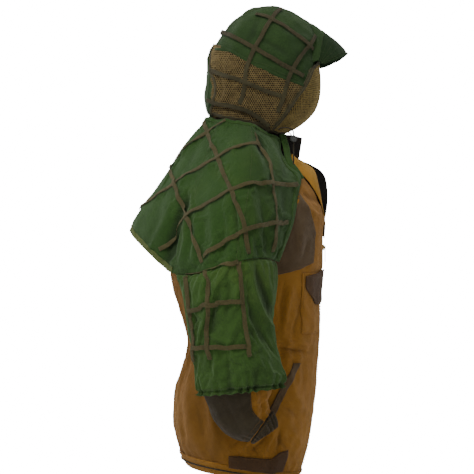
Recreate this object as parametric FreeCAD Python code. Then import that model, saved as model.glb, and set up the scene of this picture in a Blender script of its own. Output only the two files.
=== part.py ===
# Hooded camouflage over-suit: a netted hood, peak and face veil on a taped shoulder cape with
# wide sleeves, over a two-tone field smock.  Units are millimetres.  +Z is up, the front faces
# -Y, the wearer's right is -X.  The origin is the centre of the smock's hem opening.
# Right-hand pieces are modelled and mirrored to the left.
import FreeCAD, Part
import math
import os

Vector = FreeCAD.Vector
os.makedirs("parts", exist_ok=True)

# ----------------------------------------------------------------- driving dimensions
VIEW_DISTANCE = 5000.0  # the side elevation is drawn in perspective from this far off
VIEW_HEIGHT = 514.8     # and from this height
CLOTH = 2.0             # thickness of a cloth ply
SEAM = 0.6              # gap left between sewn neighbours
PATCH_LIFT = CLOTH + 0.8  # inner face of a patch laid on the smock
TAPE_WIDTH, TAPE_THICK = 12.0, 0.9  # garnish tape
TAPE_LOW = CLOTH + 1.5   # height of the lower layer of the tape grid above the cloth's inner face
TAPE_HIGH = CLOTH + 4.4  # height of the upper layer


# ----------------------------------------------------------------- vectors and curves
def sub(a, b):
    return (a[0] - b[0], a[1] - b[1], a[2] - b[2])


def add(a, b, k=1.0):
    return (a[0] + b[0] * k, a[1] + b[1] * k, a[2] + b[2] * k)


def dot(a, b):
    return a[0] * b[0] + a[1] * b[1] + a[2] * b[2]


def cross(a, b):
    return (a[1] * b[2] - a[2] * b[1], a[2] * b[0] - a[0] * b[2], a[0] * b[1] - a[1] * b[0])


def unit(a):
    length = math.sqrt(dot(a, a)) or 1.0
    return (a[0] / length, a[1] / length, a[2] / length)


def mix(a, b, share):
    """Point a given share of the way from a to b."""
    return tuple(p + (q - p) * share for p, q in zip(a, b))


def clamp(value, low, high):
    return min(max(value, low), high)


def spread(first, last, count):
    """Evenly spaced values, both ends included."""
    return [first + (last - first) * i / (count - 1.0) for i in range(count)]


def spline(points, s):
    """Point on a uniform Catmull-Rom curve; s runs from 0 to len(points)-1."""
    last = len(points) - 1
    s = clamp(s, 0.0, float(last))
    i = min(int(s), last - 1)
    t = s - i

    def extended(end, neighbour):
        return tuple(2 * a - b for a, b in zip(end, neighbour))

    before = points[i - 1] if i > 0 else extended(points[0], points[1])
    after = points[i + 2] if i + 2 <= last else extended(points[-1], points[-2])
    return tuple(
        0.5 * ((2 * b) + (-a + c) * t + (2 * a - 5 * b + 4 * c - d) * t * t
               + (-a + 3 * b - 3 * c + d) * t ** 3)
        for a, b, c, d in zip(before, points[i], points[i + 1], after))


def sampled(points, count):
    """Evenly spaced parameters along a spline through points."""
    return [spline(points, s) for s in spread(0, len(points) - 1, count)]


def table(xs, ys, x):
    """Smooth cubic interpolation of a table, held constant beyond its ends."""
    n = len(xs)
    x = clamp(x, xs[0], xs[-1])
    i = next((k for k in range(n - 1) if x <= xs[k + 1]), n - 2)

    def slope(k):
        low, high = max(k - 1, 0), min(k + 1, n - 1)
        return (ys[high] - ys[low]) / (xs[high] - xs[low])

    step = xs[i + 1] - xs[i]
    t = (x - xs[i]) / step
    return ((2 * t ** 3 - 3 * t ** 2 + 1) * ys[i]
            + (t ** 3 - 2 * t ** 2 + t) * step * slope(i)
            + (-2 * t ** 3 + 3 * t ** 2) * ys[i + 1]
            + (t ** 3 - t ** 2) * step * slope(i + 1))


def place(x, y, z):
    """Point at depth x that the side elevation shows at (y, z) of the plane x = 0."""
    k = (VIEW_DISTANCE - abs(x)) / VIEW_DISTANCE
    return (x, y * k, VIEW_HEIGHT + (z - VIEW_HEIGHT) * k)


# ----------------------------------------------------------------- solids from surfaces
# A surface is a function of two parameters.  "inside" is a point on its inner side, or a
# function giving one for each surface point; "step" is the parameter step used for normals.
def raw_normal(surf, a, b, step):
    along_a = sub(surf(a + step, b), surf(a - step, b))
    along_b = sub(surf(a, b + step), surf(a, b - step))
    return unit(cross(along_a, along_b))


def outward(inside, p):
    """Vector to p from its inside point."""
    return sub(p, inside(p) if callable(inside) else inside)


def normal_at(surf, a, b, step, inside):
    """Unit normal pointing away from the inside."""
    n = raw_normal(surf, a, b, step)
    return n if dot(n, outward(inside, surf(a, b))) > 0 else (-n[0], -n[1], -n[2])


def bspline_surface(grid):
    """Surface of up to third degree with the grid as its control net; it ends on the outer rows."""
    degree, mults, knots = [], [], []
    for n in (len(grid), len(grid[0])):
        d = min(3, n - 1)
        degree.append(d)
        mults.append([d + 1] + [1] * (n - d - 1) + [d + 1])
        knots.append([float(i) for i in range(n - d + 1)])
    result = Part.BSplineSurface()
    result.buildFromPolesMultsKnots([[Vector(*p) for p in row] for row in grid],
                                    mults[0], mults[1], knots[0], knots[1],
                                    False, False, degree[0], degree[1])
    return result


def solid_of(faces):
    """Solid enclosed by faces, turned so that its volume is positive."""
    shell = Part.makeShell(faces)
    shell.sewShape()
    if shell.ShapeType != "Shell":
        shell = shell.Shells[0]
    solid = Part.makeSolid(shell)
    if solid.Volume < 0:
        solid.reverse()
    return solid


def skin(outer, inner):
    """Closed solid between two matching point grids."""
    so, si = bspline_surface(outer), bspline_surface(inner)
    u0, u1, v0, v1 = so.bounds()
    m0, m1, n0, n1 = si.bounds()
    faces = [so.toShape(), si.toShape()]
    for edge_o, edge_i in ((so.uIso(u0), si.uIso(m0)), (so.uIso(u1), si.uIso(m1)),
                           (so.vIso(v0), si.vIso(n0)), (so.vIso(v1), si.vIso(n1))):
        faces.append(Part.makeRuledSurface(edge_o.toShape(), edge_i.toShape()))
    solid = solid_of(faces)
    if not solid.isValid():
        solid.fix(0.001, 0.001, 0.01)
        if solid.ShapeType != "Solid":
            solid = Part.makeSolid(solid)
        if solid.Volume < 0:
            solid.reverse()
    return solid


def sheet(surf, a_values, b_values, lift, thick, inside, step):
    """Ply on a surface: inner face at lift above it, outer face at lift + thick."""
    grid, votes = [], 0.0
    for a in a_values:
        row = []
        for b in b_values:
            p = surf(a, b)
            n = raw_normal(surf, a, b, step)
            votes += dot(n, unit(outward(inside, p)))
            row.append((p, n))
        grid.append(row)
    sign = 1.0 if votes > 0 else -1.0
    inner = [[add(p, n, sign * lift) for p, n in row] for row in grid]
    outer = [[add(p, n, sign * (lift + thick)) for p, n in row] for row in grid]
    return skin(outer, inner)


def strip(path, normals, width, lift, thick):
    """Flat tape along a path of points with surface normals."""
    outer, inner = [], []
    last = None
    for i, point in enumerate(path):
        along = unit(sub(path[min(i + 1, len(path) - 1)], path[max(i - 1, 0)]))
        up = normals[i]
        if last is not None and dot(up, last) < 0:
            up = (-up[0], -up[1], -up[2])
        last = up
        side = unit(cross(up, along))
        up = unit(cross(along, side))
        across = [add(point, side, s * width) for s in (-0.5, 0.0, 0.5)]
        inner.append([add(p, up, lift) for p in across])
        outer.append([add(p, up, lift + thick) for p in across])
    return skin(outer, inner)


def garnish(surf, params, lift, step, inside):
    """Garnish tape over a surface through a list of its parameter pairs."""
    return strip([surf(*p) for p in params],
                 [normal_at(surf, p[0], p[1], step, inside) for p in params],
                 TAPE_WIDTH, lift, TAPE_THICK)


def tube(points, radius):
    """Round cord through points."""
    curve = Part.BSplineCurve()
    curve.interpolate([Vector(*p) for p in points])
    start = curve.tangent(curve.FirstParameter)[0]
    circle = Part.Wire([Part.Circle(Vector(*points[0]), start, radius).toShape()])
    return Part.Wire([curve.toShape()]).makePipeShell([circle], True, True)


# ----------------------------------------------------------------- writing the pieces
def save(name, *shapes):
    """One STEP file, with several shapes held in a compound."""
    shape = shapes[0] if len(shapes) == 1 else Part.makeCompound(list(shapes))
    shape.exportStep("parts/%s.step" % name)


def mirrored(shapes):
    return [s.mirror(Vector(0, 0, 0), Vector(1, 0, 0)) for s in shapes]


def save_both(name, *shapes):
    """Right-hand shapes and their mirror images, as two pieces."""
    save(name + "_right", *shapes)
    save(name + "_left", *mirrored(shapes))


def save_pair(name, *shapes):
    """Right-hand shapes and their mirror images, as one piece."""
    save(name, *shapes, *mirrored(shapes))


# ----------------------------------------------------------------- smock body
HEM_SLOPE = 0.16        # the hem rises to the back
TORSO_POWER = 2.0 / 2.35  # squares off the elliptical cross-section
TORSO = [  # height, back y, front y, half width
    (0, 112, -118, 160), (30, 128, -136, 176), (70, 138, -150, 188), (130, 141, -160, 192),
    (190, 137, -168, 191), (240, 118, -172, 188), (285, 106, -173.73, 185),
    (330, 120, -175.46, 187), (380, 137, -177.38, 190), (430, 146, -179.31, 191),
    (500, 150, -182, 192), (560, 146, -184.3, 190), (610, 134, -168, 184),
    (650, 120, -140, 170), (685, 104, -105, 142), (712, 88, -78, 105), (730, 76, -64, 82)]
TORSO_Z, TORSO_BACK, TORSO_FRONT, TORSO_HALF = zip(*TORSO)


def torso(angle, z):
    """Smock surface: angle is 0 at the centre front, 90 at the wearer's right, 180 at the back."""
    height = clamp(z, 0.0, TORSO_Z[-1])
    back, front = table(TORSO_Z, TORSO_BACK, height), table(TORSO_Z, TORSO_FRONT, height)
    half = table(TORSO_Z, TORSO_HALF, height)
    c, s = math.cos(math.radians(angle)), math.sin(math.radians(angle))
    x = -half * math.copysign(abs(s) ** TORSO_POWER, s)
    y = (back + front) / 2 - (back - front) / 2 * math.copysign(abs(c) ** TORSO_POWER, c)
    # the slope of the hem fades out over the 110 mm above z = 30
    fade = max(0.0, 1.0 - max(0.0, z - 30.0) / 110.0) ** 1.5
    return (x, y, z + fade * HEM_SLOPE * y)


def torso_inside(p):
    return (0.0, -15.0, p[2])


def on_torso(angles, heights, lift, thick):
    return sheet(torso, angles, heights, lift, thick, torso_inside, 0.4)


def angle_at(x, z):
    """Angle on the right front at which the smock reaches a given x."""
    low, high = 0.0, 88.0
    for _ in range(30):
        middle = (low + high) / 2
        if torso(middle, z)[0] > x:
            low = middle
        else:
            high = middle
    return (low + high) / 2


def front_xz(x, z):
    """Smock surface at a given x on the right front."""
    return torso(angle_at(x, z), z)


# Hem band: a closed ring flaring upwards, with its foot and top parallel to the hem plane.
HEM_TOP = 27.0
HEM_THICK = 4.5
HEM_OUT_FOOT, HEM_OUT_TOP = 1.0, 9.0   # outer face beyond the smock surface


def hem_curve(offset, z):
    """Closed curve on the sloping plane at height z, offset from the smock surface."""
    points = []
    for k in range(24):
        angle = 360.0 * k / 24
        p = torso(angle, z)
        n = normal_at(torso, angle, max(z, 1.0), 0.5, torso_inside)
        n = unit((n[0], n[1], 0.0))
        y = p[1] + n[1] * offset
        points.append(Vector(p[0] + n[0] * offset, y, z + HEM_SLOPE * y))
    curve = Part.BSplineCurve()
    curve.interpolate(Points=points, PeriodicFlag=True)
    return Part.Wire([curve.toShape()])


def hem_band():
    out_foot, out_top = hem_curve(HEM_OUT_FOOT, 0.0), hem_curve(HEM_OUT_TOP, HEM_TOP)
    in_foot = hem_curve(HEM_OUT_FOOT - HEM_THICK, 0.0)
    in_top = hem_curve(HEM_OUT_TOP - HEM_THICK, HEM_TOP)
    parts = [Part.makeRuledSurface(out_foot, out_top), Part.makeRuledSurface(in_foot, in_top)]
    for outer, inner in ((out_foot, in_foot), (out_top, in_top)):
        parts.append(Part.makeFace([outer, inner], "Part::FaceMakerBullseye"))
    return solid_of([f for part in parts for f in part.Faces])


save("hem_band", hem_band())

YOKE_Z = 430.0          # seam between the lower and upper body
SHOULDER_Z = 585.0      # foot of the shoulder panels
BODY_Z = [29.5, 45, 70, 100, 130, 160, 190, 215, 240, 262, 285, 308, 330, 355, 380, 405, YOKE_Z]
UPPER_Z = [YOKE_Z + SEAM, 465, 500, 530, 560, SHOULDER_Z, 610, 630, 650, 668]
UPPER_FRONT_Z = [430.8, 455, 480, 500, 520, 545, 565, 583.5, 591.5, 610, 635, 660, 680, 696]
FRONT_GAP = 2.6         # half gap at the centre front, in degrees, that the zip sits in
CHEST_ANGLE = 31.0      # where the chest patch begins
NECK_EDGE = [  # height and x of the open edge of the front above the zip
    (430, -12), (500, -12), (515, -16), (548, -36), (590, -56), (628, -68), (668, -72), (700, -68)]
NECK_EDGE_Z, NECK_EDGE_X = zip(*NECK_EDGE)


def front_upper(s, z):
    """Upper front; s runs from the neck edge to the chest patch or shoulder panel."""
    start = angle_at(table(NECK_EDGE_Z, NECK_EDGE_X, z), z)
    end = CHEST_ANGLE + 4.6 * clamp((z - SHOULDER_Z) / 6.0, 0.0, 1.0)
    return torso(start + (end - start) * s, z)


def chest_patch(s, z):
    """s runs from the upper front back to the armhole."""
    start = CHEST_ANGLE + 0.6 + 3.0 * clamp((z - 530.0) / 40.0, 0.0, 1.0)
    return torso(start + (66.0 - start) * s, z)


save_both("smock_front",
          on_torso(spread(FRONT_GAP, 88.0, 9), BODY_Z, 0, CLOTH),
          sheet(front_upper, spread(0.0, 1.0, 5), UPPER_FRONT_Z, 0, CLOTH, torso_inside, 0.05))
# the upper back lies between the armholes, which stay open at the sides
save("smock_back",
     on_torso(spread(88.4, 271.6, 15), BODY_Z, 0, CLOTH),
     on_torso(spread(118.0, 242.0, 11), UPPER_Z, 0, CLOTH))
save_pair("chest_patches",
          sheet(chest_patch, spread(0.0, 1.0, 5), UPPER_Z[:6], 0, CLOTH, torso_inside, 0.02))
save_pair("shoulder_panels",
          on_torso(spread(36.0, 117.0, 8), spread(SHOULDER_Z + 1.5, 712.0, 8), -0.9, CLOTH))

# ----------------------------------------------------------------- stand collar
# Points from the centre back round the right side to the front corner; open at the throat.
COLLAR_LOW = [(0, 60, 712), (-42, 54, 711), (-68, 28, 709), (-74, -12, 707),
              (-64, -52, 706), (-46, -88, 704), (-40, -112, 703), (-37, -126, 702)]
COLLAR_TOP = [(0, 56, 742), (-40, 50, 742), (-64, 25, 741), (-69, -12, 739),
              (-59, -52, 737), (-43, -90, 735), (-37, -116, 732), (-35, -134, 727)]


def collar(s, t):
    """s runs from the centre back to the front corner, t up from the neck seam."""
    return mix(spline(COLLAR_LOW, s * 7), spline(COLLAR_TOP, s * 7), t)


def collar_inside(p):
    return (0.0, clamp(p[1], -60.0, 20.0), p[2])


save_pair("smock_collar", sheet(collar, spread(0.004, 1.0, 11), spread(0, 1, 4),
                                0, 2.4, collar_inside, 0.02))
save_pair("collar_lining", sheet(collar, spread(0.004, 0.99, 11), spread(0.02, 0.98, 4),
                                 -2.0, 1.5, collar_inside, 0.02))
HANGER_PATH = [(-22, 50, 734), (-16, 45, 723), (0, 43, 718), (16, 45, 723), (22, 50, 734)]
save("hanger_loop", strip(HANGER_PATH, [(0, -1, 0)] * 5, width=8.0, lift=0.0, thick=1.2))

# ----------------------------------------------------------------- zip
ZIP_FOOT, ZIP_TOP = 32.0, 500.0
ZIP_TAPE_OUTER = [(1.2, -1.4), (5.0, -1.4), (9.0, -1.2)]  # x, and y from the smock front
ZIP_TAPE_THICK = 1.0
TOOTH_PITCH = 6.0
TOOTH_X, TOOTH_Y, TOOTH_Z = 2.6, 1.6, 2.4   # size of a tooth
TOOTH_OFFSET = 0.9      # teeth stand this far out, on alternate sides
SLIDER_Z = 492.0
SLIDER_W, SLIDER_H = 9.0, 13.0
FLANGE_W = 1.0
EAR_W, EAR_GAP = 2.0, 1.9   # ears of the pull, and where they start from the centre
PIVOT_BACK = 7.6        # pivot ahead of the smock front


def zip_tape(side):
    outer, inner = [], []
    for z in spread(ZIP_FOOT, ZIP_TOP, 14):
        _, y, height = torso(0, z)
        outer.append([(side * x, y + dy, height) for x, dy in ZIP_TAPE_OUTER])
        inner.append([(side * x, y + dy + ZIP_TAPE_THICK, height) for x, dy in ZIP_TAPE_OUTER])
    return skin(outer, inner)


def zip_teeth():
    start = ZIP_FOOT + 6
    teeth = []
    for k in range(math.ceil((ZIP_TOP - 10 - start) / TOOTH_PITCH)):
        _, y, z = torso(0, start + k * TOOTH_PITCH)
        side = -1 if k % 2 else 1
        corner = Vector(-TOOTH_X / 2 + side * TOOTH_OFFSET, y - 3.3, z - TOOTH_Z / 2)
        teeth.append(Part.makeBox(TOOTH_X, TOOTH_Y, TOOTH_Z, corner))
    return teeth


SLIDER_Y = torso(0, SLIDER_Z)[1]   # smock front behind the slider


def slider_box(width, depth, height, ahead, up, x=None):
    """Box centred on x = 0 unless x is given; its outer face is "ahead" of the smock front."""
    x = -width / 2 if x is None else x
    return Part.makeBox(width, depth, height, Vector(x, SLIDER_Y - ahead, SLIDER_Z + up))


def pivot(radius, length):
    return Part.makeCylinder(radius, length, Vector(-length / 2, SLIDER_Y - PIVOT_BACK, SLIDER_Z),
                             Vector(1, 0, 0))


def zip_slider():
    """Rounded plate with an eyed post in front and two flanges behind."""
    plate = slider_box(SLIDER_W, 2.0, SLIDER_H, 6.0, -SLIDER_H / 2)
    plate = plate.makeFillet(1.0, [e for e in plate.Edges
                                   if abs(e.tangentAt(e.FirstParameter).y) > 0.9])
    post = slider_box(1.6, 3.2, 7.0, 9.0, -3.5)
    flanges = [slider_box(FLANGE_W, 2.5, 11.0, 4.2, -5.5, x)
               for x in (-SLIDER_W / 2, SLIDER_W / 2 - FLANGE_W)]
    return plate.fuse([post] + flanges).cut(pivot(1.0, 6.0)).removeSplitter()


def zip_pull():
    """Flat pull slotted round the post, with a pivot pin and a hole near its lower end."""
    pull = slider_box(9.0, 1.4, 30.0, 8.3, -32.0)
    pull = pull.cut(slider_box(2.6, 3.0, 9.0, 9.2, -8.2))
    ears = [slider_box(EAR_W, 1.4, 3.6, 8.3, -2.6, x) for x in (-EAR_GAP - EAR_W, EAR_GAP)]
    pull = pull.fuse(ears + [pivot(0.94, 8.0)])
    hole = Part.makeCylinder(2.0, 6.0, Vector(0, SLIDER_Y - 10.0, SLIDER_Z - 26.0),
                             Vector(0, 1, 0))
    return pull.cut(hole).removeSplitter()


save("front_zip", zip_tape(-1), zip_tape(1), *zip_teeth())
save("zip_slider", zip_slider())
save("zip_pull", zip_pull())


# ----------------------------------------------------------------- open lapels of the smock
def lapel_root(z):
    """Point just off the chest, outside the neck edge."""
    angle = angle_at(table(NECK_EDGE_Z, NECK_EDGE_X, z) - 3.0, z)
    return add(torso(angle, z), normal_at(torso, angle, z, 0.4, torso_inside), 6.5)


LAPEL_BASE = [(-57.0, -109.0, 688.0)] + [lapel_root(z) for z in (664.0, 628.0, 590.0, 550.0, 512.0)]
LAPEL_FREE = [(-44, -106, 690), (-37, -143, 677), (-30, -174, 650),
              (-24, -190, 612), (-17, -195, 566), (-13, -194, 519)]


def lapel(s, t):
    """s runs down the neck opening, t out from the chest to the free edge."""
    base, free = spline(LAPEL_BASE, s), spline(LAPEL_FREE, s)
    bulge = add(mix(base, free, 0.5), (-4, -5, 2))
    return spline([base, bulge, free], t)


def lapel_inside(p):
    return (0.0, 60.0, p[2] - 40)


save_both("front_lapel", sheet(lapel, spread(0, 5, 8), spread(0, 2, 4),
                               0.0, 1.6, lapel_inside, 0.05))
save_pair("lapel_lining", sheet(lapel, spread(0.15, 4.8, 8), spread(0.15, 1.85, 4),
                                -3.2, 1.4, lapel_inside, 0.05))


# ----------------------------------------------------------------- pockets on the smock
def chest_flap(s, t):
    """s runs inwards from the right end, t down; the lower corners are cut off."""
    top = 430 + 16 * s
    corner = 10 * max(0, 1 - s / 0.16) + 10 * max(0, (s - 0.84) / 0.16)
    bottom = 372 + 2 * s + corner
    return front_xz(-152 + 102 * s, top + (bottom - top) * t)


def hand_welt(s, t):
    """Slanting welt down the hip; s runs down it, t across it."""
    return torso(50 + 22 * s + 7 * t, 246 - 130 * s)


save_pair("chest_pockets", sheet(front_xz, spread(-146, -56, 6), spread(312, 436, 5),
                                 PATCH_LIFT, 2.2, torso_inside, 0.5))
save_both("chest_flap", sheet(chest_flap, spread(0.0, 1.0, 8), spread(0.0, 1.0, 5),
                              CLOTH + 4.6, 1.8, torso_inside, 0.01))
save_pair("hand_pocket_welts", sheet(hand_welt, spread(0, 1, 8), spread(0, 1, 3),
                                     PATCH_LIFT, 2.6, torso_inside, 0.01))
save_pair("hip_patches", on_torso(spread(62, 112, 6), spread(40, 66, 3), PATCH_LIFT, 1.4))

# ----------------------------------------------------------------- smock sleeves
# Rings: centre x, y, z, half width in x, half depth, forward tilt in degrees.
SLEEVE = [
    (-224, 20, 572, 38, 56, 0), (-243, 22, 520, 41, 60, 0), (-259, 24, 460, 46, 66, 0),
    (-266, 26, 400, 49, 70, 0), (-268, 24, 340, 51, 72, 0), (-268, 18, 285, 50, 72, 0),
    (-264, 9, 235, 48, 70, 2), (-256, 1, 191, 46, 68, 8), (-250, -7, 154, 44, 59, 24),
    (-246, -23, 131, 41, 49, 43), (-243, -44, 119, 36, 38, 55)]
CUFF = [(-242.8, -46, 117.5, 36, 38, 55), (-241.5, -49.5, 112, 34, 33, 48),
        (-240.5, -53, 106.5, 32.5, 29.5, 41), (-240, -55.5, 101.5, 32.5, 27, 34)]


def ring_sheet(rings, s_values, angles, lift, thick):
    """Ply on the tube through rings; angle 0 faces front, 90 the wearer's right."""
    def surf(s, angle):
        cx, cy, cz, half_x, half_y, tilt = spline(rings, s)
        t, f = math.radians(angle), math.radians(tilt)
        return (cx - half_x * math.sin(t), cy - half_y * math.cos(t) * math.cos(f),
                cz + half_y * math.cos(t) * math.sin(f))

    def nearest_centre(p):
        return min(rings, key=lambda q: (q[1] - p[1]) ** 2 * 0.3 + (q[2] - p[2]) ** 2)[:3]

    return sheet(surf, s_values, angles, lift, thick, nearest_centre, 0.05)


SLEEVE_S = spread(0, 10, 15)
save_both("smock_sleeve",
          ring_sheet(SLEEVE, SLEEVE_S, spread(0.5, 179.5, 9), 0, CLOTH),
          ring_sheet(SLEEVE, SLEEVE_S, spread(180.5, 359.5, 9), 0, CLOTH))
save_pair("forearm_patches",
          ring_sheet(SLEEVE, spread(5.6, 9.9, 8), spread(68, 205, 9), CLOTH + 1.6, 1.4))
save_pair("cuffs",
          ring_sheet(CUFF, spread(0, 3, 5), spread(0.8, 179.2, 8), 0, 3.0),
          ring_sheet(CUFF, spread(0, 3, 5), spread(180.8, 359.2, 8), 0, 3.0))

# ----------------------------------------------------------------- cape
# Rows from neckline to lower edge, columns from centre back to front edge: depth x, and the
# y and z at which the side elevation shows the point.
CAPE = [
    [(0, 70.4, 777.7), (-32, 68.64, 777.26), (-62, 55, 775.5), (-86, 35.2, 773.3),
     (-99, 6.6, 770), (-99, -24.2, 763.4), (-82, -59.4, 748), (-54, -92.4, 728.2)],
    [(0, 108.68, 733.7), (-45, 106.04, 734.14), (-85, 85.8, 734.8), (-120, 59.4, 734.8),
     (-148, 19.8, 737), (-152, -28.6, 737), (-118, -68.2, 721.6), (-66, -93.5, 701.8)],
    [(0, 149.6, 671.88), (-58, 146.3, 673.64), (-112, 116.6, 679.8), (-162, 81.4, 684.2),
     (-204, 28.6, 690.8), (-214, -28.6, 699.6), (-168, -79.2, 688.6), (-92, -112.2, 671)],
    [(0, 180.4, 627), (-68, 176.44, 627), (-132, 146.3, 624.8), (-192, 99, 622.6),
     (-244, 39.6, 631.4), (-262, -24.2, 644.6), (-206, -83.6, 640.2), (-112, -136.4, 646.8)],
    [(0, 209, 589.6), (-76, 204.6, 586.3), (-148, 168.3, 572), (-212, 116.6, 558.8),
     (-274, 55, 569.8), (-296, -15.4, 585.2), (-244, -79.2, 585.2), (-144, -129.8, 607.2)],
    [(0, 232.1, 554.4), (-82, 225.5, 547.8), (-158, 190.3, 521.4), (-222, 132, 495),
     (-292, 68.2, 503.8), (-318, -2.2, 523.6), (-274, -68.2, 525.8), (-182, -118.8, 543.4)],
    [(0, 237.6, 530.2), (-84, 231, 515.9), (-162, 198, 479.6), (-224, 147.4, 435.6),
     (-300, 79.2, 437.8), (-332, 6.6, 459.8), (-302, -52.8, 468.6), (-232, -88, 459.8)],
]
PANEL_GAP = 0.012       # gap beside a panel seam, in columns


def cape_drawn(r, c):
    """Bicubic point of the table at row r and column c."""
    return spline([spline(row, c) for row in CAPE], r)


def cape(r, c):
    return place(*cape_drawn(r, c))


def cape_inside(p):
    return (0.0, 0.0, min(p[2] - 60, 560.0))


def cape_sheet(rows, columns, lift=0.0, thick=CLOTH):
    return sheet(cape, rows, columns, lift, thick, cape_inside, 0.03)


CAPE_ROWS = spread(0.0, 5.98, 13)
save_both("cape_back", cape_sheet(CAPE_ROWS, spread(0.012, 3.0 - PANEL_GAP, 8)))
save_both("cape_shoulder", cape_sheet(CAPE_ROWS, spread(3.0 + PANEL_GAP, 5.0 - PANEL_GAP, 6)))
save_both("cape_front", cape_sheet(CAPE_ROWS, spread(5.0 + PANEL_GAP, 7.0, 6)))
# turned hem tape round the free back edge
save_pair("cape_hem_tape", cape_sheet(spread(5.72, 5.96, 3), spread(0.03, 2.96, 8),
                                      lift=CLOTH + 0.6, thick=1.0))


def find_on_cape(y, z):
    """Row and column of the cape shown at (y, z): a coarse search refined by Newton steps."""
    def miss(rc):
        q = cape_drawn(*rc)
        return (q[1] - y) ** 2 + (q[2] - z) ** 2

    r, c = min(((i / 4.0, j / 4.0) for i in range(25) for j in range(29)), key=miss)
    step = 0.02
    for _ in range(12):
        here = cape_drawn(r, c)
        miss_y, miss_z = y - here[1], z - here[2]
        by_row = sub(cape_drawn(r + step, c), cape_drawn(r - step, c))
        by_col = sub(cape_drawn(r, c + step), cape_drawn(r, c - step))
        row_y, row_z = by_row[1] / (2 * step), by_row[2] / (2 * step)
        col_y, col_z = by_col[1] / (2 * step), by_col[2] / (2 * step)
        det = row_y * col_z - col_y * row_z
        if abs(det) < 1e-6:
            break
        dr = (miss_y * col_z - miss_z * col_y) / det
        dc = (row_y * miss_z - row_z * miss_y) / det
        r = clamp(r + clamp(dr, -0.4, 0.4), 0.03, 5.97)
        c = clamp(c + clamp(dc, -0.4, 0.4), 0.06, 6.96)
    return (r, c)


def located(points):
    return [find_on_cape(y, z) for y, z in points]


# Tape paths: (y, z) points of the side elevation where located, else cape (row, column).
CAPE_LONG = [
    located([(55, 756.8), (48.4, 702.9), (35.2, 660), (14.3, 618.86), (2.42, 586.3),
             (-12.1, 539.22), (-19.8, 490.6)]),
    [(0.25, 0.85), (1.2, 1.15), (2.2, 1.6), (3.1, 2.05), (4.0, 2.5), (4.9, 2.95), (5.75, 3.5)],
    located([(-43.12, 737), (-56.32, 710.16), (-68.2, 684.2), (-73.7, 651.2), (-81.4, 610.06),
             (-84.48, 551.1), (-72.6, 495)]),
]
CAPE_ACROSS = [
    located([(15.4, 762.3)]) + [(0.35, 2.4), (0.7, 1.3), (0.95, 0.08)],
    located([(-37.4, 722.7), (-3.3, 716.1), (31.9, 699.82), (55.66, 683.54)])
    + [(2.45, 2.2), (2.75, 1.1), (2.95, 0.08)],
    located([(-123.2, 633.6), (-71.06, 630.52), (-32.78, 629.2), (8.36, 620.4),
             (55.66, 595.32)]) + [(4.05, 2.7), (4.5, 1.5), (4.75, 0.08)],
    located([(-112.2, 546.7), (-71.06, 542.08), (-12.1, 533.28), (26.18, 506.88), (66, 475.2)]),
]


def cape_tapes(paths, lift):
    return [garnish(cape, sampled(path, 12), lift, 0.03, cape_inside) for path in paths]


save_pair("cape_tapes_long", *cape_tapes(CAPE_LONG, TAPE_LOW))
save_pair("cape_tapes_across", *cape_tapes(CAPE_ACROSS, TAPE_HIGH))

# ----------------------------------------------------------------- cape sleeves
# Stations down the sleeve: drawn front y, back y and z, then outer x, inner x.
CAPE_SLEEVE = [
    (-89.1, 138.6, 430.1, -331, -207), (-84.7, 125.4, 398.2, -332, -205),
    (-75.9, 116.6, 358.6, -333, -204), (-71.5, 113.3, 319, -333, -204),
    (-80.3, 106.7, 277.2, -332, -203), (-92.4, 99, 239.8, -331, -202),
    (-101.2, 96.14, 204.6, -329, -202), (-99, 92.4, 176, -325, -205)]
FRONT_DEPTH, BACK_DEPTH = -300, -290   # x at which the front and back outlines are taken
GATHER = 1.8            # stations over which the top blends into the cape's edge
GATHER_FRONT, GATHER_BACK = 6.85, 3.10   # cape columns between which the sleeve hangs


def gathered_edge(angle):
    """Lower edge of the cape outside the arm, closed by an arc on the inside."""
    if angle <= 180.0:
        return cape(6.0, GATHER_FRONT - (GATHER_FRONT - GATHER_BACK) * angle / 180.0)
    share = (angle - 180.0) / 180.0
    q = mix(cape(6.0, GATHER_BACK), cape(6.0, GATHER_FRONT), share)
    return (q[0] + 26.0 * math.sin(math.pi * share), q[1], q[2])


def cape_sleeve(s, angle):
    """s runs down the stations; angle 0 faces front, 90 the wearer's right."""
    front, back, z, outer_x, inner_x = spline(CAPE_SLEEVE, s)
    front_y = place(FRONT_DEPTH, front, z)[1]
    back_y = place(BACK_DEPTH, back, z)[1]
    centre_x, half_x = (outer_x + inner_x) / 2, (inner_x - outer_x) / 2
    t = math.radians(angle)
    p = (centre_x - half_x * math.sin(t),
         (front_y + back_y) / 2 - (back_y - front_y) / 2 * math.cos(t),
         place(centre_x, front, z)[2] + 9.0 * (s / 7.0) * math.cos(t))
    if s >= GATHER:
        return p
    # the top of the sleeve follows the cape's lower edge, to which it is gathered
    return mix(p, add(gathered_edge(angle), (0, 0, -3.2)),
               (1.0 - max(s, 0.0) / GATHER) ** 1.5)


def cape_sleeve_inside(p):
    return (-268.0, 15.0, p[2])


def cape_sleeve_halves(s_values, margin, lift, thick):
    """Outer and inner halves, each stopping a margin in degrees short of the seams."""
    return [sheet(cape_sleeve, s_values, spread(start + margin, start + 180.0 - margin, 11),
                  lift, thick, cape_sleeve_inside, 0.05) for start in (0.0, 180.0)]


save_both("cape_sleeve", *cape_sleeve_halves(spread(0.0, 7.0, 11), 0.4, 0, CLOTH))
save_pair("sleeve_elastic", *cape_sleeve_halves(spread(6.55, 6.95, 3), 1.0, -2.6, 1.8))

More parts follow.
